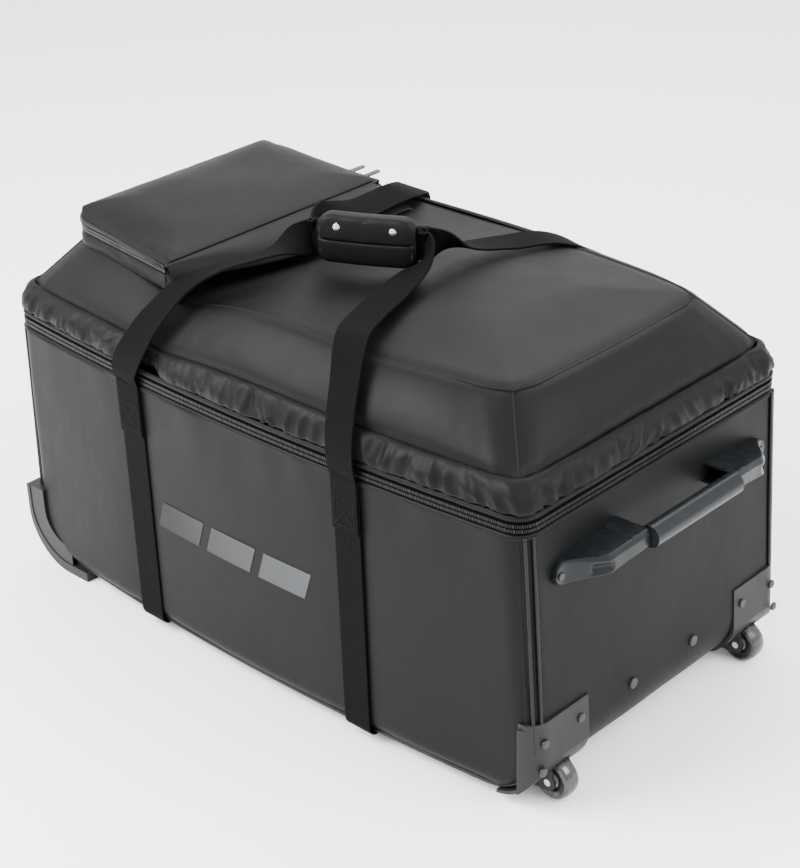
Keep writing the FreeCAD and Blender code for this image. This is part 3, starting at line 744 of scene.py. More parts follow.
class Finish(Enum):
    """Each finish on the bag, made once."""

    SHELL = CoatedFabric("shell_fabric_satin")
    LID = CoatedFabric("lid_fabric_satin", level=0.0042, blue=0.10, roughness=0.48)
    LINING = CoatedFabric("lining_fabric", level=0.006, roughness=0.62)
    WEBBING = RibbedWebbing("strap_webbing")
    TAPE = RibbedWebbing("zip_tape_weave", level=0.003, ribs=900.0)
    TEETH = MouldedPlastic("zip_coil_nylon", level=0.004, roughness=0.42)
    # painted highlight: a paler copy of the coated fabric, used for the grip's edge bead
    BEAD_HIGHLIGHT = CoatedFabric("grip_bead_painted_highlight", level=0.018, roughness=0.5)
    WEBBING_PLAIN = CoatedFabric("binding_tape", level=0.014, roughness=0.6)
    PIPING = MouldedPlastic("piping_vinyl", level=0.004, roughness=0.35, grain=500.0)
    BRACKET = MouldedPlastic("bracket_plastic", level=0.012, roughness=0.5)
    GUARD = MouldedPlastic("guard_plastic", level=0.010, roughness=0.42)
    HANDLE = MouldedPlastic("handle_plastic_satin", level=0.008, blue=0.15, roughness=0.30)
    BOARD = MouldedPlastic("stiffener_sheet", level=0.03, roughness=0.6)
    RIVET = TurnedMetal("blackened_fastener", level=0.012, roughness=0.42, metallic=0.3)
    STEEL = TurnedMetal("axle_steel", level=0.16)
    TUBE = TurnedMetal("anodised_tube", level=0.10, roughness=0.35)
    SLIDER = TurnedMetal("slider_black_nickel", level=0.05, roughness=0.34, metallic=0.8)
    SNAP = TurnedMetal("snap_gunmetal", level=0.5, roughness=0.24)
    TYRE = WheelTyre("tyre_urethane")

    @property
    def material(self) -> bpy.types.Material:
        """The finish's material, built when it is first asked for."""
        return bpy.data.materials.get(self.value.name) or self.value.build()


def dress(piece: bpy.types.Object, finish: Finish, body: str, *nodes: str, slot: str | None = None) -> bpy.types.Object:
    """Give a new piece its material, its body and the nodes that it stands for.

    Args:
        piece: The piece.
        finish: Its finish.
        body: The CAD body that it moves with.
        nodes: The CAD nodes that it replaces.
        slot: A material slot's name; not used.

    Returns:
        The same piece.
    """
    piece.data.materials.clear()
    piece.data.materials.append(finish.material)
    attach(piece, body)
    if nodes:
        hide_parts(*nodes)
    LOG.info("%s rides on %s", piece.name, body)
    return piece


def refinish(finish: Finish, *nodes: str) -> None:
    """Give CAD nodes that stay in view a better material.

    Args:
        finish: The finish.
        nodes: The nodes' names.
    """
    for name in nodes:
        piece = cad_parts[name]
        for place in piece.material_slots:
            place.material = finish.material
        LOG.info("%s is now %s", name, finish.value.name)


# ---------------------------------------------------------------- the bag's lines
def side_surface(side: Side, x: float, rise: float) -> Vector:
    """A point of the front or back face, pressed in a little under the straps.

    Args:
        side: Front or back.
        x: Place along the bag.
        rise: Height above the base.

    Returns:
        The point in bag coordinates.
    """
    full = SIZES.corner_half + SIZES.swell(x)
    for strap in STRAP_CENTRES:
        full -= 0.0022 * bell(x, strap, 0.034)
    return Vector((x, side.value * full, rise))


STRAP_CENTRES = tuple(
    (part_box(node)[0][0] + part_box(node)[1][0]) / 2 - SIZES.mid_x for node in ("left_strap", "right_strap")
)


def clear_of_straps(x: float) -> float:
    """1 away from the straps and 0 under them, where the cloth is held flat."""
    return math.prod(1 - bell(x, strap, 0.034) for strap in STRAP_CENTRES)


@dataclass(frozen=True)
class RingPoint:
    """One place on a line round the bag: where it is, which way is out, and how far along."""

    point: Vector
    outward: Vector
    share: float


def ring_line(count: int, inset: float = 0.0, swell: float = 0.022, radius: float = 0.025) -> list[RingPoint]:
    """A level line round the bag, from the middle of the back, over the far end, front and wheel end.

    Args:
        count: How many places.
        inset: How far inside the zip line it runs.
        swell: How far the long sides stand out half way along.
        radius: The upright corners' radius.

    Returns:
        The places, evenly spaced, at height 0.
    """
    half_x, half_y = SIZES.zip_half - inset, SIZES.corner_half - inset
    raw: list[Vector] = []

    def corner(cx: float, cy: float, start: float) -> None:
        """Add one rounded corner's points."""
        for k in range(1, 12):
            angle = math.radians(start + 90 * k / 12)
            raw.append(Vector((cx + radius * math.cos(angle), cy + radius * math.sin(angle), 0)))

    run_x, run_y = half_x - radius, half_y - radius

    def long_side(sign: int, starts: float, ends: float) -> None:
        """Add one long side's points, which swell out half way along."""
        for k in range(121):
            x = starts + (ends - starts) * k / 120
            raw.append(Vector((x, sign * (half_y + SIZES.swell(x, swell) - SIZES.swell(run_x, swell)), 0)))

    long_side(1, 0.0, -run_x)
    corner(-run_x, run_y, 90)
    raw.extend(Vector((-half_x, run_y * (1 - 2 * k / 60), 0)) for k in range(61))
    corner(-run_x, -run_y, 180)
    long_side(-1, -run_x, run_x)
    corner(run_x, -run_y, 270)
    raw.extend(Vector((half_x, run_y * (-1 + 2 * k / 60), 0)) for k in range(61))
    corner(run_x, run_y, 0)
    long_side(1, run_x, 0.0)

    lengths = [0.0]
    for a, b in zip(raw, raw[1:]):
        lengths.append(lengths[-1] + (b - a).length)
    places = []
    j = 0
    for i in range(count):
        goal = lengths[-1] * i / count
        while lengths[j + 1] < goal:
            j += 1
        span = max(lengths[j + 1] - lengths[j], 1e-9)
        places.append(mixed(raw[j], raw[j + 1], (goal - lengths[j]) / span))
    ways = tangents(places, closed=True)
    return [RingPoint(p, Vector((-w.y, w.x, 0)) * -1, i / count) for i, (p, w) in enumerate(zip(places, ways))]


def is_back(place: RingPoint) -> bool:
    """Whether a place on a ring belongs to the back, where there is no zip."""
    return place.point.y > 0 and abs(place.point.x) < SIZES.zip_half - 0.012


def base_line(offset: float, across: float, count: int = 60) -> list[Vector]:
    """The bag's outline seen from the front: down one end, under the base and up the other.

    Args:
        offset: How far outside the panel it runs.
        across: The place across the bag, as a share of its half width.
        count: Steps along the base.

    Returns:
        Points in bag coordinates, from the far end's top to the wheel end's.
    """
    radius = SIZES.base_radius
    centre = SIZES.half_length(radius) - radius
    half: list[tuple[float, float]] = []
    top = SIZES.zip_rise - 0.010
    for k in range(count):
        rise = top + (radius - top) * k / count
        half.append((SIZES.half_length(rise) + offset, rise))
    for k in range(25):
        angle = math.pi / 2 * k / 24
        half.append((centre + (radius + offset) * math.cos(angle), radius - (radius + offset) * math.sin(angle)))
    flat = [(centre - 2 * centre * k / count, -offset) for k in range(1, count)]
    profile = [(-x, z) for x, z in half] + [(-x, z) for x, z in flat] + [(x, z) for x, z in half[::-1]]
    return [Vector((x, across * (SIZES.corner_half + SIZES.swell(x)), z)) for x, z in profile]


# ---------------------------------------------------------------- lower bag
@dataclass
class LowerBag:
    """The soft lower half: two faces, one wrap round ends and base, and piping."""

    roll: float = 0.010
    roll_width: float = 0.024
    cloth: float = 0.0028

    def face_place(self, side: Side) -> Place:
        """Give the shaping of the front or back face.

        Args:
            side: Front or back.

        Returns:
            A function from places across and up to a position.
        """
        top = SIZES.zip_rise - 0.010

        def place(u: float, v: float) -> Vector:
            """Place one point of the sheet."""
            rise = 0.003 + (top - 0.003) * v
            half = SIZES.half_length(rise) - 0.003
            x = half * (2 * u - 1)
            point = side_surface(side, x, rise)
            edge = min(half - abs(x), rise)
            lift = (1 - smooth(0.0, self.roll_width, edge)) ** 2 * self.roll
            slack = 0.0022 * noise.noise(Vector((x * 5.0, rise * 6.0, 2.0 * side.value)))
            tug = 0.0016 * noise.noise(Vector((x * 26.0, rise * 5.0, 7.0))) * smooth(0.22, 0.32, rise)
            point.y -= side.value * (lift - (slack + tug) * clear_of_straps(x))
            return SIZES.out(point)

        return place

    def build_faces(self) -> None:
        """Make the front and back faces."""
        for side, node in ((Side.FRONT, "front_panel"), (Side.BACK, "back_panel")):
            piece = cloth_sheet(
                node.replace("_panel", "_face"), steps(88, 0.45), steps(44, 0.4), self.face_place(side),
                thickness=self.cloth, flip=side is Side.BACK,
            )
            dress(rounded(piece), Finish.SHELL, "bag", node, slot="shell_fabric")

    def wrap_place(self) -> tuple[Place, int]:
        """Give the shaping of the wrap that makes both ends and the base.

        Returns:
            A function from places across and along to a position, and the number of steps along.
        """
        profile = base_line(0.0, 0.0)
        ways = tangents(profile)
        count = len(profile) - 1

        def place(u: float, v: float) -> Vector:
            """Place one point of the sheet."""
            i = round(v * count)
            spot = profile[i]
            outward = Vector((-ways[i].z, 0, ways[i].x)) * -1
            across = 2 * u - 1
            half = SIZES.corner_half + SIZES.swell(spot.x) - 0.003
            edge = half * (1 - abs(across))
            lift = (1 - smooth(0.0, self.roll_width, edge)) ** 2 * self.roll
            pad = 0.0025 * (1 - across**2) * (1.6 * smooth(0.34, 0.40, abs(spot.x)) - 0.6)
            slack = 0.0012 * noise.noise(Vector((across * 2.5, spot.z * 7.0, spot.x * 5.0)))
            spot = spot + outward * (pad + slack - lift)
            return SIZES.out(Vector((spot.x, across * half, spot.z)))

        return place, count

    def build_wrap(self) -> None:
        """Make the ends and base as one wrap."""
        place, count = self.wrap_place()
        rows = [i / count for i in range(count + 1)]
        piece = cloth_sheet("end_and_base_wrap", steps(46, 0.5), rows, place, thickness=self.cloth)
        self.cut_handle_opening(piece)
        dress(
            rounded(piece), Finish.SHELL, "bag", "wheel_end_panel", "far_end_panel", "base_panel", slot="shell_fabric"
        )

    def cut_handle_opening(self, piece: bpy.types.Object) -> None:
        """Open the far end behind the telescopic handle's cup.

        Args:
            piece: The wrap.
        """
        low, high = (Vector(corner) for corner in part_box("trolley_cup"))
        rim = 0.0035
        bm = bmesh.new()
        bm.from_mesh(piece.data)
        cuts = (
            (Vector((0, low.y + rim, 0)), Vector((0, 1, 0))), (Vector((0, high.y - rim, 0)), Vector((0, 1, 0))),
            (Vector((0, 0, low.z + rim)), UP), (Vector((0, 0, high.z - rim)), UP),
        )
        for point, normal in cuts:
            middles = {f: f.calc_center_median() for f in bm.faces}
            near = [f for f, middle in middles.items() if middle.x < high.x + 0.01 and middle.z < high.z + 0.05]
            near += [e for e in {e for f in near for e in f.edges}] + [v for v in {v for f in near for v in f.verts}]
            bmesh.ops.bisect_plane(bm, geom=near, dist=1e-6, plane_co=point, plane_no=normal)
        inside = []
        for face in bm.faces:
            middle = face.calc_center_median()
            level = low.z + rim < middle.z < high.z - rim
            if middle.x < high.x + 0.01 and low.y + rim < middle.y < high.y - rim and level:
                inside.append(face)
        bmesh.ops.delete(bm, geom=inside, context="FACES")
        bm.to_mesh(piece.data)
        bm.free()

    def build_piping(self) -> None:
        """Make the two beads along each edge between face and wrap."""
        lines = []
        for sign in (-1, 1):
            for outside, inward in ((-0.0035, 0.0085), (0.0005, 0.0165)):
                line = base_line(outside, 1.0)
                lines.append([SIZES.out(Vector((p.x, sign * (p.y - inward), p.z))) for p in line])
        piece = cord_piece("edge_piping", lines, 0.0021, sides=8, normal=Vector((0, 1, 0)))
        dress(piece, Finish.PIPING, "bag", "corner_piping", slot="piping")

    def build(self) -> None:
        """Make the lower half."""
        self.build_faces()
        self.build_wrap()
        self.build_piping()
        refinish(Finish.BOARD, "base_board", "wheel_end_board", "handle_channel")


# ---------------------------------------------------------------- main zip
@dataclass
class MainZip:
    """The long zip: tapes, rolled lips and two rows of coil teeth."""

    pitch: float = 0.0018
    lip: float = 0.0032
    half_band: float = 0.0095

    def tape(self, name: str, low: float, high: float, body: str, whole: bool, *nodes: str) -> None:
        """Make one woven tape.

        Args:
            name: The piece's name.
            low: Its lower edge above the base.
            high: Its upper edge above the base.
            body: The CAD body that it moves with.
            whole: Whether it runs along the back as well.
            nodes: The CAD nodes that it replaces.
        """
        ring = ring_line(420)
        ring = ring if whole else [p for p in ring if not is_back(p)]
        count = len(ring) if whole else len(ring) - 1

        def place(u: float, v: float) -> Vector:
            """Place one point of the sheet."""
            spot = ring[round(u * count) % len(ring)]
            return SIZES.out(spot.point - spot.outward * 0.0006 + UP * (low + (high - low) * v))

        columns = [i / count for i in range(count + 1)]
        piece = cloth_sheet(name, columns, [0, 0.5, 1], place, (2.4, high - low), 0.0014, weld=whole)
        dress(piece, Finish.TAPE, body, *nodes, slot="zip")

    def teeth(self, name: str, rise: float, body: str, phase: float) -> None:
        """Make one row of coil teeth round the front and both ends.

        Args:
            name: The piece's name.
            rise: The row's middle above the base.
            body: The CAD body that it moves with.
            phase: Where the row starts, as a share of the pitch.
        """
        ring = [p for p in ring_line(2400) if not is_back(p)]
        bm = bmesh.new()
        travelled, due = 0.0, phase * self.pitch
        for before, spot in zip(ring, ring[1:]):
            travelled += (spot.point - before.point).length
            if travelled < due:
                continue
            due += self.pitch
            along = (spot.point - before.point).normalized()
            basis = Matrix((along * 0.0006, spot.outward * 0.0009, UP * 0.0019)).transposed().to_4x4()
            basis.translation = SIZES.out(spot.point + spot.outward * 0.0010 + UP * rise)
            bmesh.ops.create_cube(bm, size=2.0, matrix=basis)
        piece = finish_mesh(bm, name, shade_smooth=False)
        dress(piece, Finish.TEETH, body, slot="zip")

    def lip_cord(self, name: str, rise: float, body: str, out: float, radius: float) -> None:
        """Make the rolled fabric lip beside a tape.

        Args:
            name: The piece's name.
            rise: Its middle above the base.
            body: The CAD body that it moves with.
            out: How far outside the zip line it runs.
            radius: Its radius.
        """
        line = [
            SIZES.out(p.point + p.outward * (out + 0.0006 * noise.noise(p.point * 40)) + UP * rise)
            for p in ring_line(300)
        ]
        piece = cord_piece(name, [line], radius, sides=10, closed=True, flatten=1.25, normal=UP)
        dress(piece, Finish.SHELL, body, slot="shell_fabric")

    def back_fold(self) -> None:
        """Make the fabric fold along the back, which joins the lid to the bag."""
        back = [p for p in ring_line(420) if is_back(p)]
        middle, half = SIZES.zip_rise, self.half_band
        last = len(back) - 1

        def place(u: float, v: float) -> Vector:
            """Place one point of the sheet."""
            spot = back[round(u * last)]
            return SIZES.out(spot.point - spot.outward * 0.0036 + UP * (middle - half + 2 * half * v))

        columns = [i / last for i in range(last + 1)]
        piece = cloth_sheet("lid_back_fold", columns, [k / 8 for k in range(9)], place, (0.76, 2 * half), 0.0014)
        piece.data.materials.append(Finish.LINING.material)
        low, high = SIZES.out(UP * (middle - half * 0.7)), SIZES.out(UP * (middle + half * 0.7))
        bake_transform(piece)
        LOG.info("%s bends between bag and lid", piece.name)

    def build(self) -> None:
        """Make both halves of the zip."""
        self.back_fold()
        middle = SIZES.zip_rise
        low, high = middle - self.half_band, middle + self.half_band
        self.tape("lower_zip_tape", low, middle - 0.0006, "bag", True, "lower_zip", "lid_hinge_strip")
        self.tape("upper_zip_tape", middle + 0.0006, high, "lid", True, "upper_zip")
        self.teeth("lower_zip_teeth", middle - 0.0027, "bag", 0.0)
        self.teeth("upper_zip_teeth", middle + 0.0027, "lid", 0.5)
        self.lip_cord("lower_zip_lip", middle - 0.0115, "bag", -0.0006, self.lip)
        self.lip_cord("upper_zip_lip", middle + 0.0108, "lid", -0.0002, self.lip * 0.85)


# ---------------------------------------------------------------- lid
@dataclass
class Lid:
    """The lid: ruffled gusset, four crowned slopes and a soft top."""

    ruffle: float = 0.0072
    pull: float = 0.013
    pull_x: float = -0.136
    crown: float = 0.007
    roll: float = 0.0035
    cloth: float = 0.0026
    top_swell: float = 0.024
    trim: float = 0.007

    def gusset_place(self, count: int) -> Place:
        """Give the shaping of the gathered band above the zip.

        Args:
            count: Steps round the band.

        Returns:
            A function from places round and up to a position.
        """
        low_ring = ring_line(count)
        high_ring = ring_line(count, SIZES.gusset_inset, 0.020)
        low, high = SIZES.zip_rise + 0.012, SIZES.zip_rise + SIZES.gusset_height

        def place(u: float, v: float) -> Vector:
            """Place one point of the sheet."""
            i = round(u * count) % count
            spot = mixed(low_ring[i].point, high_ring[i].point, v)
            outward = low_ring[i].outward
            run = low_ring[i].share * 2.5
            lean = run + 0.016 * noise.noise(Vector((run * 9, 0.0, 21.0))) * (v - 0.5) * 4
            fold = noise.noise(Vector((lean * 30, v * 0.9, 3.0)))
            crease = 1 - 3.4 * abs(noise.noise(Vector((lean * 46, v * 0.7, 11.0))))
            pinch = 1 - 4.0 * abs(noise.noise(Vector((lean * 78, v * 1.2, 31.0))))
            fine = noise.noise(Vector((lean * 130, v * 3.0, 5.0)))
            amount = math.sin(math.pi * min(v * 0.80 + 0.16, 1.0)) ** 0.7
            gather = 0.55 + 0.45 * smooth(-0.3, 0.35, noise.noise(Vector((run * 5.5, 0.0, 40.0))))
            belly = 0.0075 * math.sin(math.pi * v) ** 0.6
            tuck = 0.008 * (1 - smooth(0.0, 0.14, v)) + 0.003 * smooth(0.9, 1.0, v)
            shape = amount * gather * self.ruffle * (0.55 * fold + 0.42 * crease + 0.30 * pinch + 0.2 * fine)
            seam = seam_rise(spot.x, spot.y)
            pulled = self.pull * bell(spot.x, self.pull_x, 0.017) * (spot.y < 0)
            spot = spot + outward * (shape + belly - tuck - pulled * (1.2 - v))
            return SIZES.out(spot + UP * (low + (high - low) * v + seam * v))

        return place

    def build_gusset(self) -> None:
        """Make the gathered band."""
        count = 720
        columns = [i / count for i in range(count + 1)]
        piece = cloth_sheet(
            "gathered_gusset", columns, steps(16, 0.3), self.gusset_place(count), (2.4, 0.05), self.cloth, weld=True
        )
        dress(piece, Finish.LID, "lid", "lid_gusset", slot="shell_fabric")

    def seam_corner(self, sign_x: int, sign_y: int, high: bool) -> Vector:
        """A corner of the lid's lower or upper seam.

        Args:
            sign_x: Which end.
            sign_y: Which side.
            high: Whether it is a corner of the top.

        Returns:
            The corner in bag coordinates.
        """
        inset = SIZES.lid_inset if high else SIZES.gusset_inset
        x, y = SIZES.zip_half - inset - self.trim, SIZES.corner_half - inset - self.trim
        rise = SIZES.zip_rise + (SIZES.lid_height - 0.002 if high else SIZES.gusset_height)
        return Vector((sign_x * x, sign_y * y, rise))

    def seam(self, a: Vector, b: Vector, u: float, swell: float, high: bool) -> Vector:
        """A point of a seam that swells out between two corners.

        Args:
            a: One corner.
            b: The other corner.
            u: The share of the way.
            swell: How far it stands out half way.
            high: Whether it is one of the top's seams.

        Returns:
            The point in bag coordinates.
        """
        point = mixed(a, b, u)
        bow = 1 - (2 * u - 1) ** 2
        full = self.trim * smooth(0.0, 0.03, min(u, 1 - u) * (b - a).length)
        if abs(b.x - a.x) > abs(b.y - a.y):
            point.y += math.copysign(swell * bow + full, a.y)
        else:
            point.x += math.copysign(swell * 0.2 * bow * high + full, a.x)
        point.z += top_drop(point.x, point.y) if high else seam_rise(point.x, point.y)
        return point

    def slope_place(self, corners: Sequence[tuple[int, int]], seed: float) -> Place:
        """Give the shaping of one slope.

        Args:
            corners: The signs of its two corners.
            seed: What sets its creases apart from the other slopes'.

        Returns:
            A function from places along and up to a position.
        """
        lows = [self.seam_corner(sx, sy, False) for sx, sy in corners]
        highs = [self.seam_corner(sx, sy, True) for sx, sy in corners]
        length = (lows[1] - lows[0]).length

        def flat(u: float, v: float) -> Vector:
            """Place one point of the panel before it is crowned."""
            return mixed(self.seam(*lows, u, 0.020, False), self.seam(*highs, u, self.top_swell, True), v)

        def place(u: float, v: float) -> Vector:
            """Place one point of the sheet."""
            step = 1e-3
            point = flat(u, v)
            outward = (flat(u + step, v) - point).cross(flat(u, v + step) - point).normalized()
            edge = min(u, 1 - u) * length
            rim = min(edge, v * 0.085, (1 - v) * 0.085)
            lift = (1 - smooth(0.0, 0.016, rim)) ** 2 * self.roll
            pad = self.crown * math.sin(math.pi * v) ** 0.7 * smooth(0.0, 0.10, edge)
            slack = 0.0016 * noise.noise(Vector((u * length * 9, v * 0.9, seed)))
            pucker = 0.0011 * noise.noise(Vector((u * length * 60, v * 1.5, seed + 5))) * (1 - v) ** 2
            return SIZES.out(point + outward * (pad + slack * smooth(0, 0.03, rim) + pucker - lift))

        return place

    def build_slopes(self) -> None:
        """Make the four slopes."""
        runs = {
            "front": ((-1, -1), (1, -1)),
            "wheel_end": ((1, -1), (1, 1)),
            "back": ((1, 1), (-1, 1)),
            "far_end": ((-1, 1), (-1, -1)),
        }
        for seed, (side, corners) in enumerate(runs.items()):
            count = 96 if side in ("front", "back") else 54
            piece = cloth_sheet(
                f"{side}_slope_pad", steps(count, 0.35), steps(18, 0.5), self.slope_place(corners, seed * 3.7),
                (0.7, 0.09), self.cloth,
            )
            dress(rounded(piece), Finish.LID, "lid", f"lid_{side}_slope", slot="shell_fabric")

    def top_place(self) -> Place:
        """Give the shaping of the lid's top.

        Returns:
            A function from places along and across to a position.
        """
        def flat(u: float, v: float) -> Vector:
            """Place one point of the panel before it is crowned."""
            front = self.seam(self.seam_corner(-1, -1, True), self.seam_corner(1, -1, True), u, self.top_swell, True)
            back = self.seam(self.seam_corner(-1, 1, True), self.seam_corner(1, 1, True), u, self.top_swell, True)
            point = mixed(front, back, v)
            bow = 1 - (2 * v - 1) ** 2
            point.x += (2 * u - 1) * (self.top_swell * 0.2 * bow + self.trim * smooth(0.0, 0.1, min(v, 1 - v)))
            return point

        def place(u: float, v: float) -> Vector:
            """Place one point of the sheet."""
            point = flat(u, v)
            rim = min(min(u, 1 - u) * 0.67, min(v, 1 - v) * 0.33)
            lift = (1 - smooth(0.0, 0.018, rim)) ** 2 * self.roll
            pad = 0.011 * smooth(0.0, 0.12, rim)
            sag = 0.020 * bell(point.x, -0.03, 0.13) * bell(point.y, -0.01, 0.14)
            slack = 0.0025 * noise.noise(Vector((point.x * 7, point.y * 9, 1.0))) * smooth(0.0, 0.05, rim)
            return SIZES.out(point + UP * (pad - sag - lift + slack))

        return place

    def build_top(self) -> None:
        """Make the top."""
        piece = cloth_sheet("top_pad", steps(72, 0.4), steps(40, 0.4), self.top_place(), (0.67, 0.33), self.cloth)
        dress(rounded(piece), Finish.LID, "lid", "lid_top_panel", slot="shell_fabric")

    def build_seams(self) -> None:
        """Make the fine welts that lie in the lid's seams."""
        lines = []
        for high in (False, True):
            corners = [self.seam_corner(sx, sy, high) for sx, sy in ((-1, -1), (1, -1), (1, 1), (-1, 1))]
            swell = self.top_swell if high else 0.020
            for a, b in zip(corners, corners[1:] + corners[:1]):
                lines.append([SIZES.out(self.seam(a, b, k / 80, swell, high) - UP * 0.0038) for k in range(81)])
        for sx, sy in ((-1, -1), (1, -1), (1, 1), (-1, 1)):
            low, high = self.seam_corner(sx, sy, False), self.seam_corner(sx, sy, True)
            inward = Vector((-sx, -sy, -1)).normalized() * 0.0042
            lines.append([SIZES.out(mixed(low, high, k / 20) + inward) for k in range(21)])
        piece = cord_piece("lid_seam_welts", lines, 0.0016, sides=6, normal=UP)
        dress(piece, Finish.LINING, "lid", slot="shell_fabric")

    def seam_tape(self) -> None:
        """Make the lining tape behind the seam between the gusset and the slopes."""
        count = 300
        low_ring = ring_line(count, SIZES.gusset_inset + 0.004, 0.020)
        high_ring = ring_line(count, SIZES.gusset_inset + 0.018, 0.020)
        seam = SIZES.zip_rise + SIZES.gusset_height

        def place(u: float, v: float) -> Vector:
            """Place one point of the sheet."""
            i = round(u * count) % count
            spot = mixed(low_ring[i].point, high_ring[i].point, v)
            return SIZES.out(spot + UP * (seam - 0.014 + 0.022 * v + seam_rise(spot.x, spot.y)))

        columns = [i / count for i in range(count + 1)]
        piece = cloth_sheet("lid_seam_tape", columns, [0, 0.5, 1], place, (2.4, 0.025), 0.0015, weld=True)
        dress(piece, Finish.LINING, "lid", slot="shell_fabric")

    def build(self) -> None:
        """Make the lid."""
        self.seam_tape()
        self.build_gusset()
        self.build_slopes()
        self.build_top()
        self.build_seams()


def seam_rise(x: float, y: float) -> float:
    """How far the gusset's upper seam rises or drops from level.

    Args:
        x: Place along the bag.
        y: Place across the bag.

    Returns:
        The rise in metres.
    """
    front = smooth(0.0, -0.15, y) if y < 0 else 0.0
    return front * (-0.006 * bell(x, -0.13, 0.06) + 0.002 * bell(x, 0.05, 0.1))


def top_drop(x: float, y: float) -> float:
    """How far the top's seam drops where the left strap pulls on the lid.

    Args:
        x: Place along the bag.
        y: Place across the bag.

    Returns:
        The change of height in metres.
    """
    front = smooth(0.0, 0.15, -y) if y < 0 else 0.0
    return -front * (0.019 * bell(x, -0.125, 0.075) + 0.004 * bell(x, 0.165, 0.05))


# ---------------------------------------------------------------- pocket
def mixed_number(a: float, b: float, t: float) -> float:
    """A number part of the way from one to another."""
    return a + (b - a) * t


@dataclass
class Pocket:
    """The pocket on the lid: walls split by a zip, a pillow flap and a sloping ramp."""

    far_x: float = -0.345
    hinge_x: float = -0.142
    foot_x: float = -0.080
    front_y: float = -0.166
    flare: float = 0.026
    back_y: float = 0.150
    foot: float = 0.424
    split: float = 0.450
    top: float = 0.462
    radius: float = 0.040
    cloth: float = 0.0022
    fall: float = 0.005

    def wall_line(self, count: int) -> list[tuple[Vector, Vector]]:
        """The three-sided line of the pocket's walls, from the ramp's front corner to its back one.

        Args:
            count: Steps along it.

        Returns:
            Points at height 0 with the outward direction of each.
        """
        r = self.radius
        raw = [Vector((self.hinge_x + (self.far_x + r - self.hinge_x) * k / 40, self.front_y, 0)) for k in range(40)]
        for sign, centre_y in ((-1, self.front_y + r), (1, self.back_y - r)):
            for k in range(13):
                angle = math.radians(270 - 90 * k / 12 if sign < 0 else 180 - 90 * k / 12)
                raw.append(Vector((self.far_x + r + r * math.cos(angle), centre_y + r * math.sin(angle), 0)))
            if sign < 0:
                side = self.back_y - self.front_y - 2 * r
                raw.extend(Vector((self.far_x, self.front_y + r + side * k / 50, 0)) for k in range(1, 50))
        run = self.hinge_x - self.far_x - r
        raw.extend(Vector((self.far_x + r + run * k / 40, self.back_y, 0)) for k in range(1, 41))
        for point in raw:
            point.y += self.skew(point.x, point.y)
        lengths = [0.0]
        for a, b in zip(raw, raw[1:]):
            lengths.append(lengths[-1] + (b - a).length)
        even, j = [], 0
        for i in range(count + 1):
            goal = min(lengths[-1] * i / count, lengths[-1] - 1e-9)
            while lengths[j + 1] < goal:
                j += 1
            even.append(mixed(raw[j], raw[j + 1], (goal - lengths[j]) / (lengths[j + 1] - lengths[j])))
        return [(p, Vector((-w.y, w.x, 0))) for p, w in zip(even, tangents(even))]

    def skew(self, x: float, y: float) -> float:
        """How much further forward a place lies because the front edge slants."""
        share = (x - self.far_x) / (self.hinge_x - self.far_x)
        return -self.flare * min(share, 1.0) * (self.back_y - y) / (self.back_y - self.front_y)

    def edge_drop(self, x: float) -> float:
        """How far the flap's seam has come down on its way to the hinge."""
        return self.fall * smooth(-0.31, self.hinge_x, x)

    def band(self, name: str, low: float, high: float, belly: float, body: str, *nodes: str) -> None:
        """Make one cloth band of the walls.

        Args:
            name: The piece's name.
            low: Its lower edge.
            high: Its upper edge.
            belly: How far it stands out half way up.
            body: The CAD body that it moves with.
            nodes: The CAD nodes that it replaces.
        """
        count = 170
        line = self.wall_line(count)

        def place(u: float, v: float) -> Vector:
            """Place one point of the sheet."""
            spot, outward = line[round(u * count)]
            crumple = 0.0022 * noise.noise(Vector((u * 26, v * 1.4, low * 50)))
            out = belly * math.sin(math.pi * v) ** 0.8 + crumple * math.sin(math.pi * v)
            top = high - self.edge_drop(spot.x) * (high > self.split)
            return SIZES.out(spot + outward * out + UP * (low + (top - low) * v))

        columns = [i / count for i in range(count + 1)]
        piece = cloth_sheet(name, columns, steps(8, 0.3), place, (0.75, high - low), self.cloth, flip=True)
        dress(rounded(piece), Finish.LID, body, *nodes, slot="shell_fabric")

    def zip_rows(self) -> None:
        """Make the pocket zip's tapes and teeth."""
        count = 1100
        line = self.wall_line(count)
        for name, body, rise, phase in (
            ("pocket_lower", "lid", self.split - 0.0019, 0), ("pocket_upper", "pocket_flap", self.split + 0.0019, 1)
        ):
            bm = bmesh.new()
            for i in range(phase, count, 2):
                spot, outward = line[i]
                along = (line[i + 1][0] - spot).normalized()
                basis = Matrix((along * 0.00058, outward * 0.0009, UP * 0.0015)).transposed().to_4x4()
                basis.translation = SIZES.out(spot + outward * 0.0006 + UP * rise)
                bmesh.ops.create_cube(bm, size=2.0, matrix=basis)
            dress(finish_mesh(bm, f"{name}_teeth", shade_smooth=False), Finish.TEETH, body, slot="zip")
            tape = self.wall_line(120)
            edge = 0.0055 if phase else -0.0055

            def place(u: float, v: float) -> Vector:
                """Place one point of the sheet."""
                spot, outward = tape[round(u * 120)]
                return SIZES.out(spot - outward * 0.0004 + UP * (self.split + 0.0003 * (1 if phase else -1) + edge * v))

            columns = [i / 120 for i in range(121)]
            piece = cloth_sheet(f"{name}_tape", columns, [0, 1], place, (0.75, 0.006), 0.0012, flip=not phase)
            dress(piece, Finish.TAPE, body, slot="zip")

    def half_reach(self, x: float) -> float:
        """How much the rounded far corners narrow the pocket at a place along it."""
        short = max(self.far_x + self.radius - x, 0.0)
        return self.radius - math.sqrt(max(self.radius**2 - short**2, 0.0))

    def top_place(self) -> Place:
        """Give the shaping of the pillow flap.

        Returns:
            A function from places along and across to a position.
        """
        length = self.hinge_x - self.far_x

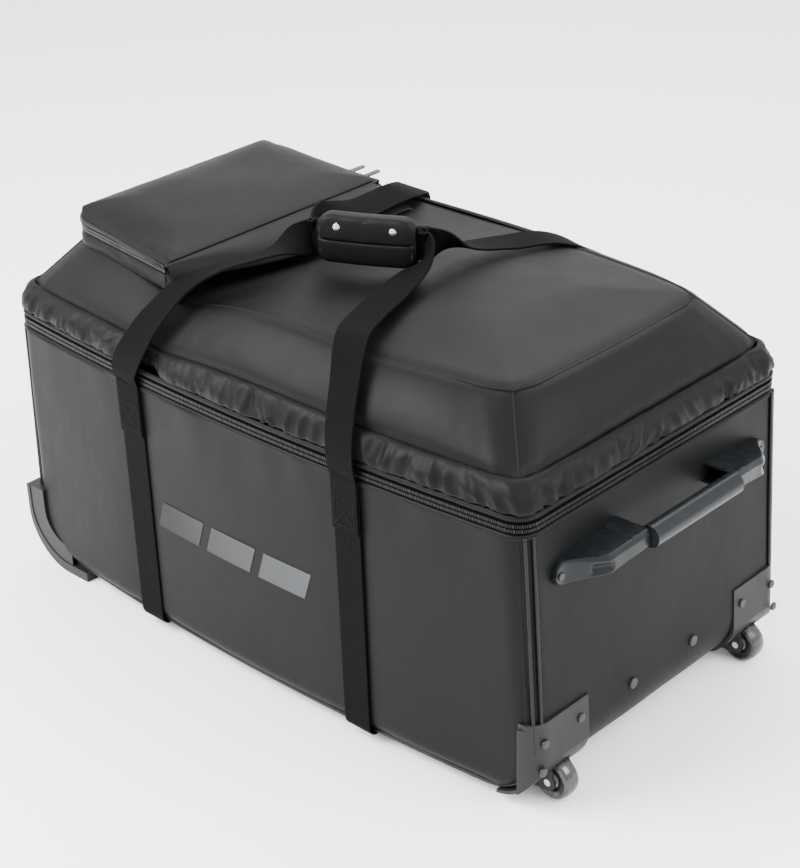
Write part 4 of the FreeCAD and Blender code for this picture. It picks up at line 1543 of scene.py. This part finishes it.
        def place(u: float, v: float) -> Vector:
            """Place one point of the sheet."""
            x = self.far_x + length * u
            trim = self.half_reach(x)
            low, high = self.front_y + trim, self.back_y - trim
            y = low + (high - low) * v
            edge = min(x - self.far_x, y - self.front_y, self.back_y - y)
            rim = min(edge, (self.hinge_x - x) * 1.1)
            plump = 0.019 - 0.007 * smooth(-0.30, -0.16, x)
            pad = plump * (1 - (1 - min(rim / 0.07, 1.0)) ** 2.4)
            lift = 0.003 * (1 - smooth(0.0, 0.010, edge)) ** 2
            y += self.skew(x, y)
            dimple = 0.003 * noise.noise(Vector((x * 11, y * 9, 4.0))) * smooth(0.0, 0.04, rim)
            pucker = 0.0012 * noise.noise(Vector((x * 60, y * 60, 9.0))) * (1 - smooth(0.0, 0.03, edge))
            return SIZES.out(Vector((x, y, self.top - self.edge_drop(x) + pad - lift + dimple + pucker)))

        return place

    def ramp_place(self) -> Place:
        """Give the shaping of the slope from the flap's hinge down to the lid.

        Returns:
            A function from places along and across to a position.
        """
        front = self.front_y - self.flare

        def place(u: float, v: float) -> Vector:
            """Place one point of the sheet."""
            y = front + (self.back_y - front) * v
            width = (self.foot_x - self.hinge_x) * (0.12 + 0.88 * smooth(-0.215, -0.03, y))
            x = self.hinge_x + width * u
            edge = self.back_y - y
            high = self.top - self.fall
            z = high - 0.001 + (0.437 - high) * u
            belly = 0.007 * math.sin(math.pi * u) * smooth(0.0, 0.03, edge)
            lift = 0.005 * (1 - smooth(0.0, 0.016, edge)) ** 2
            slack = 0.0016 * noise.noise(Vector((x * 20, y * 12, 8.0))) * math.sin(math.pi * u)
            return SIZES.out(Vector((x, y, z + belly - lift + slack)))

        return place

    def cheek(self, name: str, y: float, flip: bool, width: float) -> None:
        """Make the three-cornered wall at one end of the ramp.

        Args:
            name: The piece's name.
            y: Its place across the bag.
            flip: Whether it faces the back.
            width: How far it reaches from the hinge.
        """
        def place(u: float, v: float) -> Vector:
            """Place one point of the sheet."""
            x = self.hinge_x - 0.002 + (width + 0.004) * u
            high = self.top - self.fall - 0.004 + (0.437 - self.top) * u
            out = 0.002 * math.sin(math.pi * v) * (1 - u)
            z = self.foot - 0.012 + (high - self.foot + 0.012) * v
            return SIZES.out(Vector((x, y + (out if flip else -out), z)))

        piece = cloth_sheet(name, steps(12), steps(6), place, (0.06, 0.04), 0.002, flip=flip)
        dress(piece, Finish.LID, "lid", slot="shell_fabric")

    def welts(self) -> None:
        """Make the welts round the flap's edge and along its hinge."""
        ring = [
            p + outward * 0.0006 + UP * (self.top - 0.0035 - self.edge_drop(p.x)) for p, outward in self.wall_line(160)
        ]
        line = [SIZES.out(p) for p in ring]
        dress(cord_piece("pocket_flap_welt", [line], 0.0021, sides=8), Finish.PIPING, "pocket_flap")
        front, level = self.front_y - self.flare, self.top - self.fall - 0.003
        seam = [
            SIZES.out(Vector((self.hinge_x, mixed_number(front, self.back_y, k / 60), level))) for k in range(61)
        ]
        dress(cord_piece("pocket_hinge_welt", [seam], 0.0018, sides=8), Finish.PIPING, "lid")

    def build(self) -> None:
        """Make the pocket."""
        self.band("pocket_lower_band", self.foot, self.split - 0.004, 0.0022, "lid", "pocket_lower_wall")
        self.band("pocket_upper_band", self.split + 0.003, self.top - 0.003, 0.0028, "pocket_flap", "pocket_upper_wall")
        self.zip_rows()
        flap = cloth_sheet(
            "pocket_flap_pillow", steps(44, 0.4), steps(56, 0.4), self.top_place(), (0.21, 0.32), self.cloth
        )
        dress(rounded(flap), Finish.LID, "pocket_flap", "pocket_top_panel", slot="shell_fabric")
        ramp = cloth_sheet(
            "pocket_ramp_pad", steps(16, 0.3), steps(50, 0.4), self.ramp_place(), (0.07, 0.32), self.cloth
        )
        dress(rounded(ramp), Finish.LID, "lid", "pocket_ramp", slot="shell_fabric")
        self.cheek("pocket_ramp_front_cheek", self.front_y - self.flare + 0.001, False, 0.014)
        self.cheek("pocket_ramp_back_cheek", self.back_y, True, self.foot_x - self.hinge_x)
        self.welts()


# ---------------------------------------------------------------- webbing
@dataclass
class Straps:
    """The two straps sewn round the lower bag, with the sewn patches under the handles' feet."""

    width: float = 0.038
    thickness: float = 0.0024
    turn: float = 0.011
    top: float = 0.3205

    def path(self, x: float) -> list[Vector]:
        """The strap's centre line, down the front, under the base and up the back.

        Args:
            x: Its place along the bag.

        Returns:
            Points in bag coordinates.
        """
        full = SIZES.corner_half + SIZES.swell(x) + 0.0006
        front = [Vector((x, -full, self.top + (self.turn - self.top) * k / 60)) for k in range(60)]
        bend = []
        for k in range(9):
            angle = math.pi / 2 * k / 8
            low = self.turn - (self.turn + 0.0016) * math.sin(angle)
            bend.append(Vector((x, -full + self.turn * (1 - math.cos(angle)), low)))
        flat = [Vector((x, (-full + self.turn) * (1 - 2 * k / 40), -0.0016)) for k in range(1, 40)]
        back = [Vector((p.x, -p.y, p.z)) for p in (front + bend)[::-1]]
        return front + bend + flat + back

    def sewn_patch(self, bm: bmesh.types.BMesh, corner: Vector, outward: Vector, width: float, height: float) -> None:
        """Sew a box with a cross in it.

        Args:
            bm: The stitches' mesh.
            corner: The box's lower left corner.
            outward: The way that the webbing faces.
            width: The box's width.
            height: Its height.
        """
        right, up = Vector((width, 0, 0)), UP * height
        ends = [
            (corner, corner + right), (corner + right, corner + right + up), (corner + right + up, corner + up),
            (corner + up, corner), (corner, corner + right + up), (corner + right, corner + up),
        ]
        for a, b in ends:
            line = [mixed(a, b, k / 60) for k in range(61)]
            stitch_run(bm, line, [outward] * 61, 0.0032, 0.00045)

    def build(self) -> None:
        """Make the straps, patches and stitches."""
        stitches = bmesh.new()
        for node, x in zip(("left_strap", "right_strap"), STRAP_CENTRES):
            line = [SIZES.out(p) for p in self.path(x)]
            piece = web_piece(f"{node}_web", line, [Vector((1, 0, 0))] * len(line), self.width, self.thickness)
            dress(piece, Finish.WEBBING, "bag", node, slot="webbing")
            for side in Side:
                y = side.value * (SIZES.corner_half + SIZES.swell(x) + 0.0034)
                line = [SIZES.out(Vector((x, y, self.top + 0.001 - 0.0665 * k / 20))) for k in range(21)]
                name = f"{node}_{side.name.lower()}_patch"
                patch = web_piece(name, line, [Vector((1, 0, 0))] * 21, self.width, self.thickness)
                dress(patch, Finish.WEBBING, "bag", slot="webbing")
                corner = SIZES.out(Vector((x - 0.0145, y + side.value * 0.0013, 0.262)))
                self.sewn_patch(stitches, corner, Vector((0, side.value, 0)), 0.029, 0.032)
        dress(finish_mesh(stitches, "patch_stitches"), Finish.PIPING, "bag", slot="webbing")


@dataclass
class Handles:
    """Both carrying loops and the padded sleeve that joins them."""

    width: float = 0.038
    thickness: float = 0.0024
    centre: Vector = field(default_factory=lambda: Vector((0.009, -0.022, 0.472)))
    turn: float = math.radians(26.0)
    corner: float = 0.018
    length: float = 0.114
    thick: float = 0.020
    height: float = 0.053

    def axes(self) -> tuple[Vector, Vector]:
        """The sleeve's long direction and the direction that its front faces."""
        along = Vector((math.cos(self.turn), math.sin(self.turn), 0))
        return along, Vector((along.y, -along.x, 0))

    def route(
        self, left: Sequence[tuple[Vector, Vector]], right: Sequence[tuple[Vector, Vector]], offset: float
    ) -> list[tuple[Vector, Vector]]:
        """Join a loop's two sides through the sleeve.

        Args:
            left: Points with width directions up to the sleeve.
            right: The same after the sleeve.
            offset: How far in front of the sleeve's middle it runs.

        Returns:
            All the points with their width directions.
        """
        along, front = self.axes()
        half = self.length / 2
        reach = (-half - 0.010, -half - 0.004, 0, half + 0.004, half + 0.010)
        inside = [self.centre + along * s + front * offset for s in reach]
        return [*left, *((p, Vector((0, 0, -1))) for p in inside), *right]

    def loop(self, name: str, route: Sequence[tuple[Vector, Vector]], body: str) -> None:
        """Make one loop of webbing.

        Args:
            name: The CAD node's name.
            route: The points with their width directions.
            body: The CAD body that it moves with.
        """
        centres = spline_points([p for p, _ in route], 12)
        widths = spline_points([w.normalized() for _, w in route], 12)
        line = [SIZES.out(p) for p in centres]
        piece = web_piece(f"{name}_web", line, [w.normalized() for w in widths], self.width, self.thickness)
        dress(piece, Finish.WEBBING, body, name, slot="webbing")

    def build_loops(self) -> None:
        """Make the front and rear loops."""
        left_x, right_x = STRAP_CENTRES
        foot = 0.3225
        rise, fall = Vector((1, 0, 0)), Vector((-1, 0, 0))
        front_left = [
            (Vector((left_x, -0.2425, foot)), rise),
            (Vector((-0.167, -0.2456, 0.34)), rise),
            (Vector((-0.15, -0.2435, 0.37)), rise),
            (Vector((-0.131, -0.228, 0.406)), Vector((1, -0.1, 0))),
            (Vector((-0.114, -0.196, 0.438)), Vector((1, -0.2, 0.1))),
            (Vector((-0.096, -0.162, 0.452)), Vector((1, -0.3, 0.25))),
            (Vector((-0.078, -0.126, 0.457)), Vector((1, -0.3, 0.3))),
            (Vector((-0.065, -0.09, 0.461)), Vector((0.9, -0.2, 0.1))),
        ]
        front_right = [
            (Vector((0.08, -0.002, 0.465)), Vector((-0.5, -0.1, -0.8))),
            (Vector((0.088, -0.032, 0.457)), Vector((-1, -0.3, -0.3))),
            (Vector((0.104, -0.086, 0.453)), Vector((-1, -0.3, 0))),
            (Vector((0.121, -0.138, 0.452)), Vector((-1, -0.3, 0))),
            (Vector((0.142, -0.184, 0.45)), Vector((-1, -0.2, 0))),
            (Vector((0.162, -0.218, 0.414)), fall),
            (Vector((0.174, -0.24, 0.376)), fall),
            (Vector((0.177, -0.2456, 0.346)), fall),
            (Vector((right_x, -0.2425, foot)), fall),
        ]
        rear_left = [
            (Vector((left_x, 0.2425, foot)), rise),
            (Vector((-0.168, 0.2456, 0.346)), rise),
            (Vector((-0.158, 0.236, 0.388)), rise),
            (Vector((-0.132, 0.204, 0.430)), Vector((1, 0.2, -0.1))),
            (Vector((-0.106, 0.158, 0.449)), Vector((1, 0.3, -0.3))),
            (Vector((-0.100, 0.115, 0.452)), Vector((1, 0.3, -0.3))),
            (Vector((-0.094, 0.07, 0.454)), Vector((1, 0.2, -0.4))),
            (Vector((-0.086, 0.026, 0.461)), Vector((0.6, 0.1, -0.8))),
            (Vector((-0.076, -0.018, 0.471)), Vector((0.1, 0, -1))),
        ]
        rear_right = [
            (Vector((0.076, 0.02, 0.469)), Vector((-0.3, 0, -1))),
            (Vector((0.084, 0.052, 0.458)), Vector((-1, 0.2, -0.2))),
            (Vector((0.1, 0.108, 0.449)), Vector((-1, 0.3, 0.05))),
            (Vector((0.121, 0.164, 0.442)), Vector((-1, 0.3, 0.05))),
            (Vector((0.148, 0.205, 0.418)), Vector((-1, 0.1, 0))),
            (Vector((0.171, 0.238, 0.376)), fall),
            (Vector((0.177, 0.2456, 0.346)), fall),
            (Vector((right_x, 0.2425, foot)), fall),
        ]
        self.loop("front_loop_strap", self.route(front_left, front_right, 0.0021), "front_handle")
        self.loop("rear_loop_strap", self.route(rear_left, rear_right, -0.0021), "rear_handle")

    def sleeve_place(self) -> Place:
        """Give the shaping of the padded sleeve.

        Returns:
            A function from places round and along to a position.
        """
        along, front = self.axes()

        def place(u: float, v: float) -> Vector:
            """Place one point of the sheet."""
            angle = 2 * math.pi * u
            end = smooth(0.0, 0.10, min(v, 1 - v))
            round_x = math.copysign(abs(math.cos(angle)) ** 0.35, math.cos(angle))
            round_z = math.copysign(abs(math.sin(angle)) ** 0.8, math.sin(angle))
            reach = self.length / 2 * (2 * v - 1)
            sag = -0.0015 * (1 - (2 * v - 1) ** 2)
            lumps = 0.0008 * noise.noise(Vector((u * 5, v * 7, 2.0)))
            thick = self.thick / 2 * (0.72 + 0.28 * end) + lumps
            corner = self.corner if round_z > 0 else self.corner * 0.55
            near = max(corner - self.length * min(v, 1 - v), 0.0)
            high = self.height / 2 - corner + math.sqrt(max(corner ** 2 - near ** 2, 0.0))
            return SIZES.out(self.centre + along * reach + front * (thick * round_x) + UP * (high * round_z + sag))

        return place

    def build_sleeve(self) -> None:
        """Make the sleeve, its bindings and its edge bead."""
        count = 48
        columns = [i / count for i in range(count + 1)]
        sleeve = cloth_sheet(
            "grip_sleeve", columns, steps(40, 0.5), self.sleeve_place(), (0.15, 0.133), 0.003, weld=True
        )
        dress(rounded(sleeve), Finish.LID, "front_handle", "grip_wrap", slot="shell_fabric")
        place = self.sleeve_place()
        rings = [[place(k / 48, v) for k in range(48)] for v in (0.012, 0.988)]
        binding = cord_piece("grip_bindings", rings, 0.0024, sides=8, closed=True, normal=self.axes()[0])
        dress(binding, Finish.WEBBING_PLAIN, "front_handle", slot="shell_fabric")
        # the edge bead is drawn paler than the sleeve, a painted highlight along its edge
        bead_piece = cord_piece("grip_edge_bead", [self.edge_line()], 0.0015, sides=8, normal=UP)
        dress(bead_piece, Finish.BEAD_HIGHLIGHT, "front_handle", slot="shell_fabric")

    def edge_line(self) -> list[Vector]:
        """The line of the bead up one end of the sleeve's face, across the top and down the other."""
        along, front = self.axes()
        reach, high, r = self.length / 2 - 0.0035, self.height / 2 - 0.0045, self.corner - 0.004
        flat = [(-reach, -high + 0.004 + (2 * high - r - 0.004) * k / 8) for k in range(8)]
        for sign in (-1, 1):
            turn = [math.pi / 2 * (1 + sign) / 2 + math.pi / 2 * k / 10 for k in range(11)]
            for angle in turn:
                side = -math.cos(angle)
                flat.append((sign * (reach - r) + r * side, high - r + r * math.sin(angle)))
        flat += [(reach, high - r - (2 * high - r - 0.004) * k / 8) for k in range(1, 9)]
        return [SIZES.out(self.centre + along * a + front * (self.thick / 2 * 0.93) + UP * z) for a, z in flat]

    def build_snaps(self) -> None:
        """Make the two domed press studs near the sleeve's upper edge."""
        along, front = self.axes()
        bm = bmesh.new()
        profile = [(0.0, 0.0030), (0.0022, 0.0029), (0.0042, 0.0023), (0.0056, 0.0014)]
        profile += [(0.0064, 0.0012), (0.0067, 0.0004), (0.0060, -0.0004)]
        for offset in (-0.033, 0.033):
            middle = SIZES.out(self.centre + along * offset + front * (self.thick / 2 + 0.0002) + UP * 0.014)
            verts = [bm.verts.new(middle + along * r + front * h) for r, h in profile]
            edges = [bm.edges.new(pair) for pair in zip(verts, verts[1:])]
            bmesh.ops.spin(
                bm, geom=[*verts, *edges], cent=middle, axis=front, angle=2 * math.pi, steps=40, use_merge=True
            )
        bmesh.ops.remove_doubles(bm, verts=bm.verts, dist=1e-6)
        bmesh.ops.recalc_face_normals(bm, faces=bm.faces)
        dress(finish_mesh(bm, "grip_snap_caps"), Finish.SNAP, "front_handle", "grip_snaps", slot="snap_metal")

    def build(self) -> None:
        """Make the loops, sleeve and snaps."""
        self.build_loops()
        self.build_sleeve()
        self.build_snaps()


# ---------------------------------------------------------------- printed mark
@dataclass
class FrontMark:
    """A plain row of slanted bars printed on the front, from dull to glossy, with a painted reflection lightening the
    glossy end.
    """

    start: float = -0.134
    end: float = 0.112
    low: float = 0.143
    high: float = 0.178
    slant: float = 0.012
    bars: int = 3
    gap: float = 0.014

    def build(self) -> None:
        """Make the bars."""
        bm = bmesh.new()
        pitch = (self.end - self.start + self.gap) / self.bars
        for n in range(self.bars):
            left = self.start + pitch * n
            right = left + pitch - self.gap
            grid = bmesh.ops.create_grid(bm, x_segments=16, y_segments=4, size=1.0)["verts"]
            for vert in grid:
                u, v = (vert.co.x + 1) / 2, (vert.co.y + 1) / 2
                x = left + (right - left) * u + self.slant * (v - 0.5)
                point = side_surface(Side.FRONT, x, self.low + (self.high - self.low) * v)
                slack = 0.0022 * noise.noise(Vector((x * 5.0, point.z * 6.0, -2.0))) * clear_of_straps(x)
                point.y -= slack + 0.0005
                vert.co = SIZES.out(point)
        piece = finish_mesh(bm, "front_bars_print")
        piece.data.materials.append(PrintedMark("bars_print_film_painted_reflection", self.start, self.end).build())
        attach(piece, "bag")
        LOG.info("%s rides on bag", piece.name)


# ---------------------------------------------------------------- pull-bar mouldings
@dataclass
class Fairings:
    """The two ramped mouldings that carry the fixed bar on the wheel end."""

    tip_y: float = 0.181
    bar_y: float = 0.0745
    tip_radius: float = 0.014
    tip_z: float = 0.262
    wall: float = 0.0028
    scoop: float = 0.0065

    def section(self, y: float) -> list[Vector]:
        """The corners of the moulding's outline at one place along it.

        Args:
            y: Distance from the bag's middle, in metres.

        Returns:
            Corners from the lower root, round the outside, to the upper root.
        """
        centre = self.tip_y - self.tip_radius
        past = max(y - centre, 0.0)
        half = math.sqrt(max(self.tip_radius ** 2 - past ** 2, 1e-7))
        ramp = smooth(centre + 0.006, 0.128, y)
        run = min(max((centre - y) / (centre - self.bar_y), 0.0), 1.0)
        root = 0.4022
        crest_x = root + 0.0085 + 0.0325 * ramp + 0.0035 * smooth(0.13, self.bar_y, y)
        crest_z = self.tip_z + half + 0.001 + 0.009 * run
        low = self.tip_z - half + 0.013 * run
        root_high = self.tip_z + half + 0.009 * run
        return [
            Vector((root, 0, low)),
            Vector((crest_x - 0.003 - 0.010 * ramp, 0, low + 0.001)),
            Vector((crest_x, 0, low + 0.003 + 0.004 * ramp)),
            Vector((crest_x + 0.0005, 0, crest_z - 0.004 * ramp - 0.001)),
            Vector((crest_x - 0.002, 0, crest_z)),
            Vector((root, 0, root_high)),
        ]

    def place(self, u: float, v: float) -> Vector:
        """A point on the moulding's skin.

        Args:
            u: Place round the section, in corners.
            v: Place along it; past 1 the skin turns in to make a hollow end.

        Returns:
            The point, in bag coordinates, for the front moulding.
        """
        along = min(v, 1.0)
        y = self.tip_y + (self.bar_y - self.tip_y) * along ** 1.25 - 0.00001
        corners = self.section(y)
        k = min(int(u), len(corners) - 2)
        spot = mixed(corners[k], corners[k + 1], u - k)
        if 2.0 <= u <= 3.0:
            inside = smooth(0.1, 0.3, u - 2) * (1 - smooth(0.62, 0.8, u - 2))
            spot.x -= self.scoop * inside * smooth(0.128, 0.134, y) * (1 - smooth(0.146, 0.1475, y))
        if v > 1.0:
            middle = Vector((0.4022 + (corners[3].x - 0.4022) * 0.5, 0, (corners[0].z + corners[5].z) / 2))
            toward = middle - spot
            spot = spot + toward.normalized() * min(self.wall, toward.length * 0.5)
            y += (v - 1.0) * 0.012
        return Vector((spot.x, -y, spot.z))

    def build(self) -> None:
        """Make both mouldings."""
        columns = []
        for k in range(5):
            columns += [k + t for t in (0.0, 0.06, 0.14, 0.26, 0.38, 0.5, 0.62, 0.74, 0.86, 0.94)]
        columns += [5.0]
        rows = [k / 46 for k in range(47)] + [1.0001, 1.3, 2.2, 3.0]
        for side, front in (("front", True), ("back", False)):
            def spot(u: float, v: float, front: bool = front) -> Vector:
                """Place one point of the moulding on its own side."""
                point = self.place(u, v)
                return SIZES.out(point if front else Vector((point.x, -point.y, point.z)))

            piece = cloth_sheet(f"bar_fairing_{side}", columns, rows, spot, (0.08, 0.11), 0.0, flip=front)
            dress(piece, Finish.HANDLE, "bag", f"handle_fairing_{side}")


# ---------------------------------------------------------------- hard parts
@dataclass
class HardParts:
    """The moulded and metal parts that keep their CAD shape, with better finishes."""

    plan: dict[Finish, tuple[str, ...]] = field(default_factory=lambda: {
        Finish.BRACKET: ("wheel_bracket_front", "wheel_bracket_back", "hub_front", "hub_back"),
        Finish.GUARD: ("corner_guard_front", "corner_guard_back", "trolley_cup"),
        Finish.HANDLE: ("pull_bar", "trolley_grip", "trolley_button"),
        Finish.RIVET: ("bracket_fasteners", "fairing_screws", "tube_bolts"),
        Finish.STEEL: ("wheel_axles", "bearing_front", "bearing_back"),
        Finish.TUBE: ("trolley_outer_tubes", "trolley_inner_tubes"),
        Finish.BOARD: ("tube_plugs",),
        Finish.TYRE: ("tyre_front", "tyre_back"),
        Finish.SLIDER: (
            "main_slider_a", "main_slider_b", "main_puller_a", "main_puller_b",
            "pocket_slider_a", "pocket_slider_b", "pocket_puller_a", "pocket_puller_b",
        ),
    })

    def build(self) -> None:
        """Give each node its finish."""
        for finish, nodes in self.plan.items():
            refinish(finish, *nodes)


# ---------------------------------------------------------------- camera, lights and floor
@dataclass
class Studio:
    """A pale floor, soft lights and the camera."""

    azimuth: float = math.radians(44.328)
    elevation: float = math.radians(27.729)
    roll: float = -0.037
    place: Vector = field(default_factory=lambda: Vector((1.47285, -1.4966, 1.3348)))
    lens: float = 83.36

    def build_camera(self) -> None:
        """Make the camera."""
        az, el = self.azimuth, self.elevation
        back = Vector((math.sin(az) * math.cos(el), -math.cos(az) * math.cos(el), math.sin(el)))
        right = UP.cross(back).normalized()
        top = back.cross(right)
        turned = right * math.cos(self.roll) + top * math.sin(self.roll)
        top = top * math.cos(self.roll) - right * math.sin(self.roll)
        data = bpy.data.cameras.new("camera")
        data.lens = self.lens
        data.sensor_width = 36.0
        camera = bpy.data.objects.new("camera", data)
        matrix = Matrix((turned, top, back)).transposed().to_4x4()
        matrix.translation = self.place
        camera.matrix_world = matrix
        bpy.context.scene.collection.objects.link(camera)
        bpy.context.scene.camera = camera

    def softbox(self, name: str, toward: Vector, distance: float, size: float, power: float) -> None:
        """Make one large soft light aimed at the bag.

        Args:
            name: The light's name.
            toward: The direction from the bag to the light.
            distance: How far away it is.
            size: The side of its square.
            power: Its power in watts.
        """
        data = bpy.data.lights.new(name, "AREA")
        data.shape = "SQUARE"
        data.size = size
        data.energy = power
        light = bpy.data.objects.new(name, data)
        ray = toward.normalized()
        turn = ray.to_track_quat("Z", "Y").to_matrix().to_4x4()
        light.matrix_world = Matrix.Translation(Vector((0, 0, 0.25)) + ray * distance) @ turn
        bpy.context.scene.collection.objects.link(light)

    def build(self) -> None:
        """Make the camera, lights, world and floor."""
        self.build_camera()
        self.softbox("key_softbox", Vector((-0.45, -0.75, 0.75)), 2.6, 1.5, 200.0)
        self.softbox("end_softbox", Vector((1.0, 0.25, 0.75)), 3.0, 1.6, 120.0)
        self.softbox("top_softbox", Vector((-0.3, 0.6, 1.0)), 2.8, 1.8, 60.0)
        world = bpy.data.worlds.new("studio")
        world.use_nodes = True
        world.node_tree.nodes["Background"].inputs["Color"].default_value = (1.0, 1.0, 1.0, 1.0)
        world.node_tree.nodes["Background"].inputs["Strength"].default_value = 2.3
        bpy.context.scene.world = world
        bm = bmesh.new()
        bmesh.ops.create_grid(bm, x_segments=2, y_segments=2, size=14.0)
        floor = finish_mesh(bm, "studio_floor", shade_smooth=False)
        graph = Graph("floor_paper")
        speck = graph.noise(3.0, 2.0)
        floor.data.materials.append(graph.finish((0.97, 0.97, 0.97, 1.0), speck * 0.05 + 0.7, None, 0.0))


def main() -> None:
    """Build every sub-assembly in order."""
    logging.basicConfig(level=logging.INFO, format="%(message)s")
    soft = (LowerBag(), MainZip(), Lid(), Pocket(), Straps(), Handles(), FrontMark())
    for assembly in (*soft, Fairings(), HardParts(), Studio()):
        LOG.info("building %s", type(assembly).__name__)
        assembly.build()


if __name__ == "__main__":
    main()
